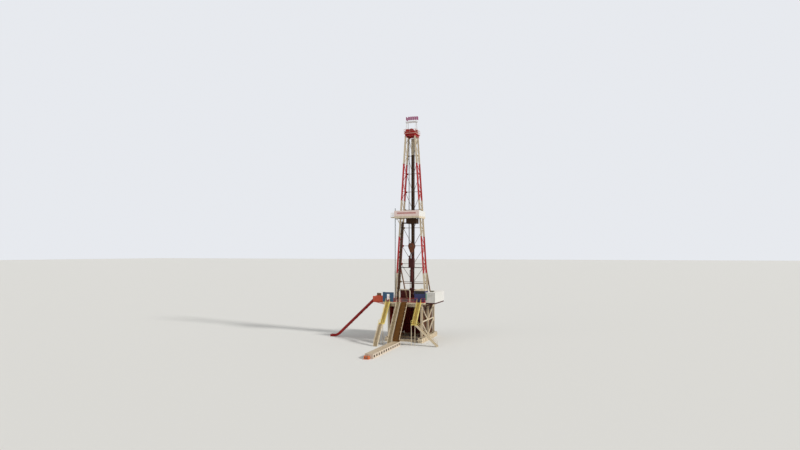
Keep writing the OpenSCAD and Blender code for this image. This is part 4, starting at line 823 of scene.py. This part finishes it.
for number, x in enumerate(flag_x):
    flag = bmesh.new()
    bmesh.ops.create_grid(flag, x_segments=16, y_segments=12, size=0.5)
    for vert in flag.verts:
        u, v = vert.co.x + 0.5, vert.co.y + 0.5
        ripple = 0.022 * u * math.sin(7.5 * u + 1.3 * number + 1.5 * v)
        droop = flag_sags[number] * u * u
        vert.co = Vector((x + 0.007 + flag_w * 0.97 * u, flag_y + ripple,
                          pole_top - 0.03 - flag_h * (1 - v) - droop))
    piece = finished(f"flag_{number + 1}", flag, cloth, smooth=True)
    piece.modifiers.new("thickness", "SOLIDIFY").thickness = 0.002

# Guide rails. Two dark brown steel posts and the plate that joins them, paler at the head, on which the top
# drive's carriage runs. Strips are welded across the plate; brackets and a bolted cross beam tie it to the
# mast.
guide_colour = (0.070, 0.032, 0.010)
guide_brown = painted("guide_paint", guide_colour, worn=0.2, rust=0.4, dust=0.0, gleam=0.2)
guide_top = 20.1
wear(painted("guide_rail_paint", guide_colour, worn=0.2, rust=0.3, dust=0.0, gleam=0.2,
             split=(guide_top, (0.60, 0.52, 0.38))), "guide_rails")
rungs = bmesh.new()
for k in range(37):
    z = 1.6 + 0.5 * k
    block(rungs, (0, 0.541, z), (0.25, 0.008, 0.05))
tie_y, tie_z = 0.603, 4.47
tie_reach = leg_x(tie_z) - 0.045
for z in (tie_z - 0.044, tie_z + 0.044):
    block(rungs, (0, tie_y, z), (2 * tie_reach, 0.066, 0.010))
block(rungs, (0, tie_y, tie_z), (2 * tie_reach, 0.010, 0.080))
for side in (-1, 1):
    block(rungs, (side * (tie_reach - 0.012), tie_y, tie_z), (0.016, 0.090, 0.150))
    for z in (tie_z - 0.06, tie_z + 0.06):
        hex_head(rungs, (side * (tie_reach - 0.02), tie_y, z), (-side, 0, 0), 0.014)
finished("guide_rungs", rungs, guide_brown)

# Drilling lines. Twelve parts of steel rope hang between the crown's sheaves and the block's, and the fast
# line runs on to the drum. Each is a plain greased rope of 19 mm.
rope = painted("greased_rope", (0.075, 0.068, 0.062), worn=0.3, rust=0.2, rough=0.45, dust=0.1)
rope_r, groove_x, fast_x = 0.0095, 0.3708, -0.431
block_axle_z, sheave_pitch = 7.45, 0.076
line_mesh = bmesh.new()
for i in range(6):
    y = (i - 2.5) * sheave_pitch
    for side in (-1, 1):
        top_x = fast_x if side < 0 and i == 5 else side * groove_x
        round_bar(line_mesh, (side * groove_x, y, block_axle_z), (top_x, y, crown_axle_z), rope_r, 10)
hoist_lines = finished("hoist_lines", line_mesh, rope, body=None, smooth=True)
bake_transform(hoist_lines)
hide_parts("drilling_lines")
wear(rope, "fast_line")

# Travelling block. A cheek plate in a dark reddish brown, partly painted shade for the gear inside the mast,
# on each side of six sheaves, with a ring of through bolts round the sheaves, four more bolts at its foot
# and a round hub at each end of the axle.
gear_paint_and_shade = painted("gear_paint_and_shade", (0.135, 0.036, 0.010), worn=0.15, rust=0.2, rough=0.5, dust=0.0,
                     gleam=0.25)
wear(gear_paint_and_shade, "travelling_block")
cheek_y, bolt_circle = 0.273, 0.38
block_bolts = bmesh.new()
for side in (-1, 1):
    face = side * cheek_y
    round_bar(block_bolts, (0, face, block_axle_z), (0, face + side * 0.03, block_axle_z), 0.12, 24)
    for k in range(10):
        turn = math.tau * k / 10
        place = (bolt_circle * math.cos(turn), face, block_axle_z + bolt_circle * math.sin(turn))
        hex_head(block_bolts, place, (0, side, 0), 0.018)
    for x, z in [(-0.12, 6.85), (0.12, 6.85), (-0.09, 6.68), (0.09, 6.68)]:
        hex_head(block_bolts, (x, face, z), (0, side, 0), 0.022, 0.02)
finished("block_bolts", block_bolts, steel, body="travelling_gear")

# Top drive. A gear case of welded plate in a near-black maroon, partly painted shade for the gear inside
# the mast, with ribs and bolt heads on its front, two finned motors on its top, and under it the ringed pipe
# handler, which carries the elevator on its links.
drive_paint_and_shade = painted("drive_paint_and_shade", (0.065, 0.006, 0.004), worn=0.15, rust=0.15, rough=0.5, dust=0.0,
                      gleam=0.25)
wear(drive_paint_and_shade, "top_drive")
case_front, case_low, case_high = -0.30, 4.45, 5.75
motor_y, fin_pitch = -0.15, 0.05
ribs = bmesh.new()
for x in (-0.30, -0.10, 0.10, 0.30):
    block(ribs, (x, case_front - 0.012, (case_low + case_high) / 2), (0.03, 0.026, 1.24))
for z in (case_low + 0.03, 5.1, case_high - 0.03):
    block(ribs, (0, case_front - 0.012, z), (0.76, 0.024, 0.05))
for x in (-0.23, 0.23):
    for k in range(7):
        round_bar(ribs, (x, motor_y, 5.80 + fin_pitch * k), (x, motor_y, 5.812 + fin_pitch * k), 0.143, 20)
for k in range(5):
    round_bar(ribs, (0, 0, 2.95 + 0.32 * k), (0, 0, 3.0 + 0.32 * k), 0.205, 24)
for x in (-0.35, -0.20, 0, 0.20, 0.35):
    for z in (4.49, 5.10, 5.70):
        hex_head(ribs, (x, case_front - 0.024, z), (0, -1, 0), 0.014)
finished("drive_ribs", ribs, drive_paint_and_shade, body="travelling_gear")

# Drive covers. Square inspection covers with rounded edges, bolted on both sides of the gear case, and two
# bolted grab jaws on the front of the pipe handler's box.
cover_y, jaw_x, jaw_z = -0.05, 0.10, 2.62
covers = bmesh.new()
for side in (-1, 1):
    for z in (4.78, 5.42):
        softened(covers, block(covers, (side * 0.386, cover_y, z), (0.016, 0.34, 0.42)), 0.006)
        for dy in (-0.14, 0, 0.14):
            for dz in (-0.18, 0, 0.18):
                hex_head(covers, (side * 0.394, cover_y + dy, z + dz), (side, 0, 0), 0.012, 0.010)
    block(covers, (side * jaw_x, -0.225, jaw_z), (0.12, 0.05, 0.22))
    for dz in (-0.07, 0.07):
        hex_head(covers, (side * jaw_x, -0.25, jaw_z + dz), (0, -1, 0), 0.014)
finished("drive_covers", covers, drive_paint_and_shade, body="travelling_gear")

# Drawworks. The winch's drum behind the mast, in a maroon frame whose darkness is partly painted shade,
# with one layer of the drilling lines' rope on it: turn lies beside turn from flange to flange, each made as
# a closed ring.
wear(maroon, "drawworks_frame")
wear(steel, "drawworks_drum")
drum_y, drum_z, drum_r, drum_half = 2.65, 0.54, 0.25, 0.47
turns = 40
wrap = bmesh.new()
for k in range(turns):
    x = -drum_half + 2 * drum_half * (k + 0.5) / turns
    rim = bmesh.ops.create_circle(wrap, segments=8, radius=rope_r + 0.002)["verts"]
    bmesh.ops.translate(wrap, vec=(x, drum_y + drum_r + rope_r, drum_z), verts=rim)
    edges = list({e for v in rim for e in v.link_edges})
    bmesh.ops.spin(wrap, geom=rim + edges, cent=(x, drum_y, drum_z), axis=(1, 0, 0), angle=math.tau,
                   steps=32, use_merge=True)
finished("drum_rope", wrap, rope, smooth=True)

# Drawworks housings. Louvres and bolts on the front of the two gearboxes and a ribbed lid on each, and three
# brake calipers round the drum's left flange, all sprayed maroon like the frame, a maroon made dark partly
# as painted shade.
gearbox_x, caliper_ring = 1.05, 0.33
housing_covers = bmesh.new()
for side in (-1, 1):
    for k in range(8):
        block(housing_covers, (side * gearbox_x, 2.296, 0.22 + 0.055 * k), (0.34, 0.014, 0.018))
    for x in (-0.21, 0.21):
        for z in (0.15, 0.40, 0.66):
            hex_head(housing_covers, (side * gearbox_x + x, 2.30, z), (0, -1, 0), 0.014)
    block(housing_covers, (side * gearbox_x, 2.65, 0.732), (0.40, 0.56, 0.026))
    for k in range(6):
        block(housing_covers, (side * gearbox_x, 2.45 + 0.08 * k, 0.755), (0.34, 0.02, 0.022))
for k in range(3):
    turn = math.radians(200 + 40 * k)
    centre = Vector((-0.475, drum_y + caliper_ring * math.cos(turn), drum_z + caliper_ring * math.sin(turn)))
    block(housing_covers, centre, (0.14, 0.10, 0.12), Matrix.Rotation(turn, 3, "X"))
finished("drawworks_covers", housing_covers, maroon)

low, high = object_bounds()
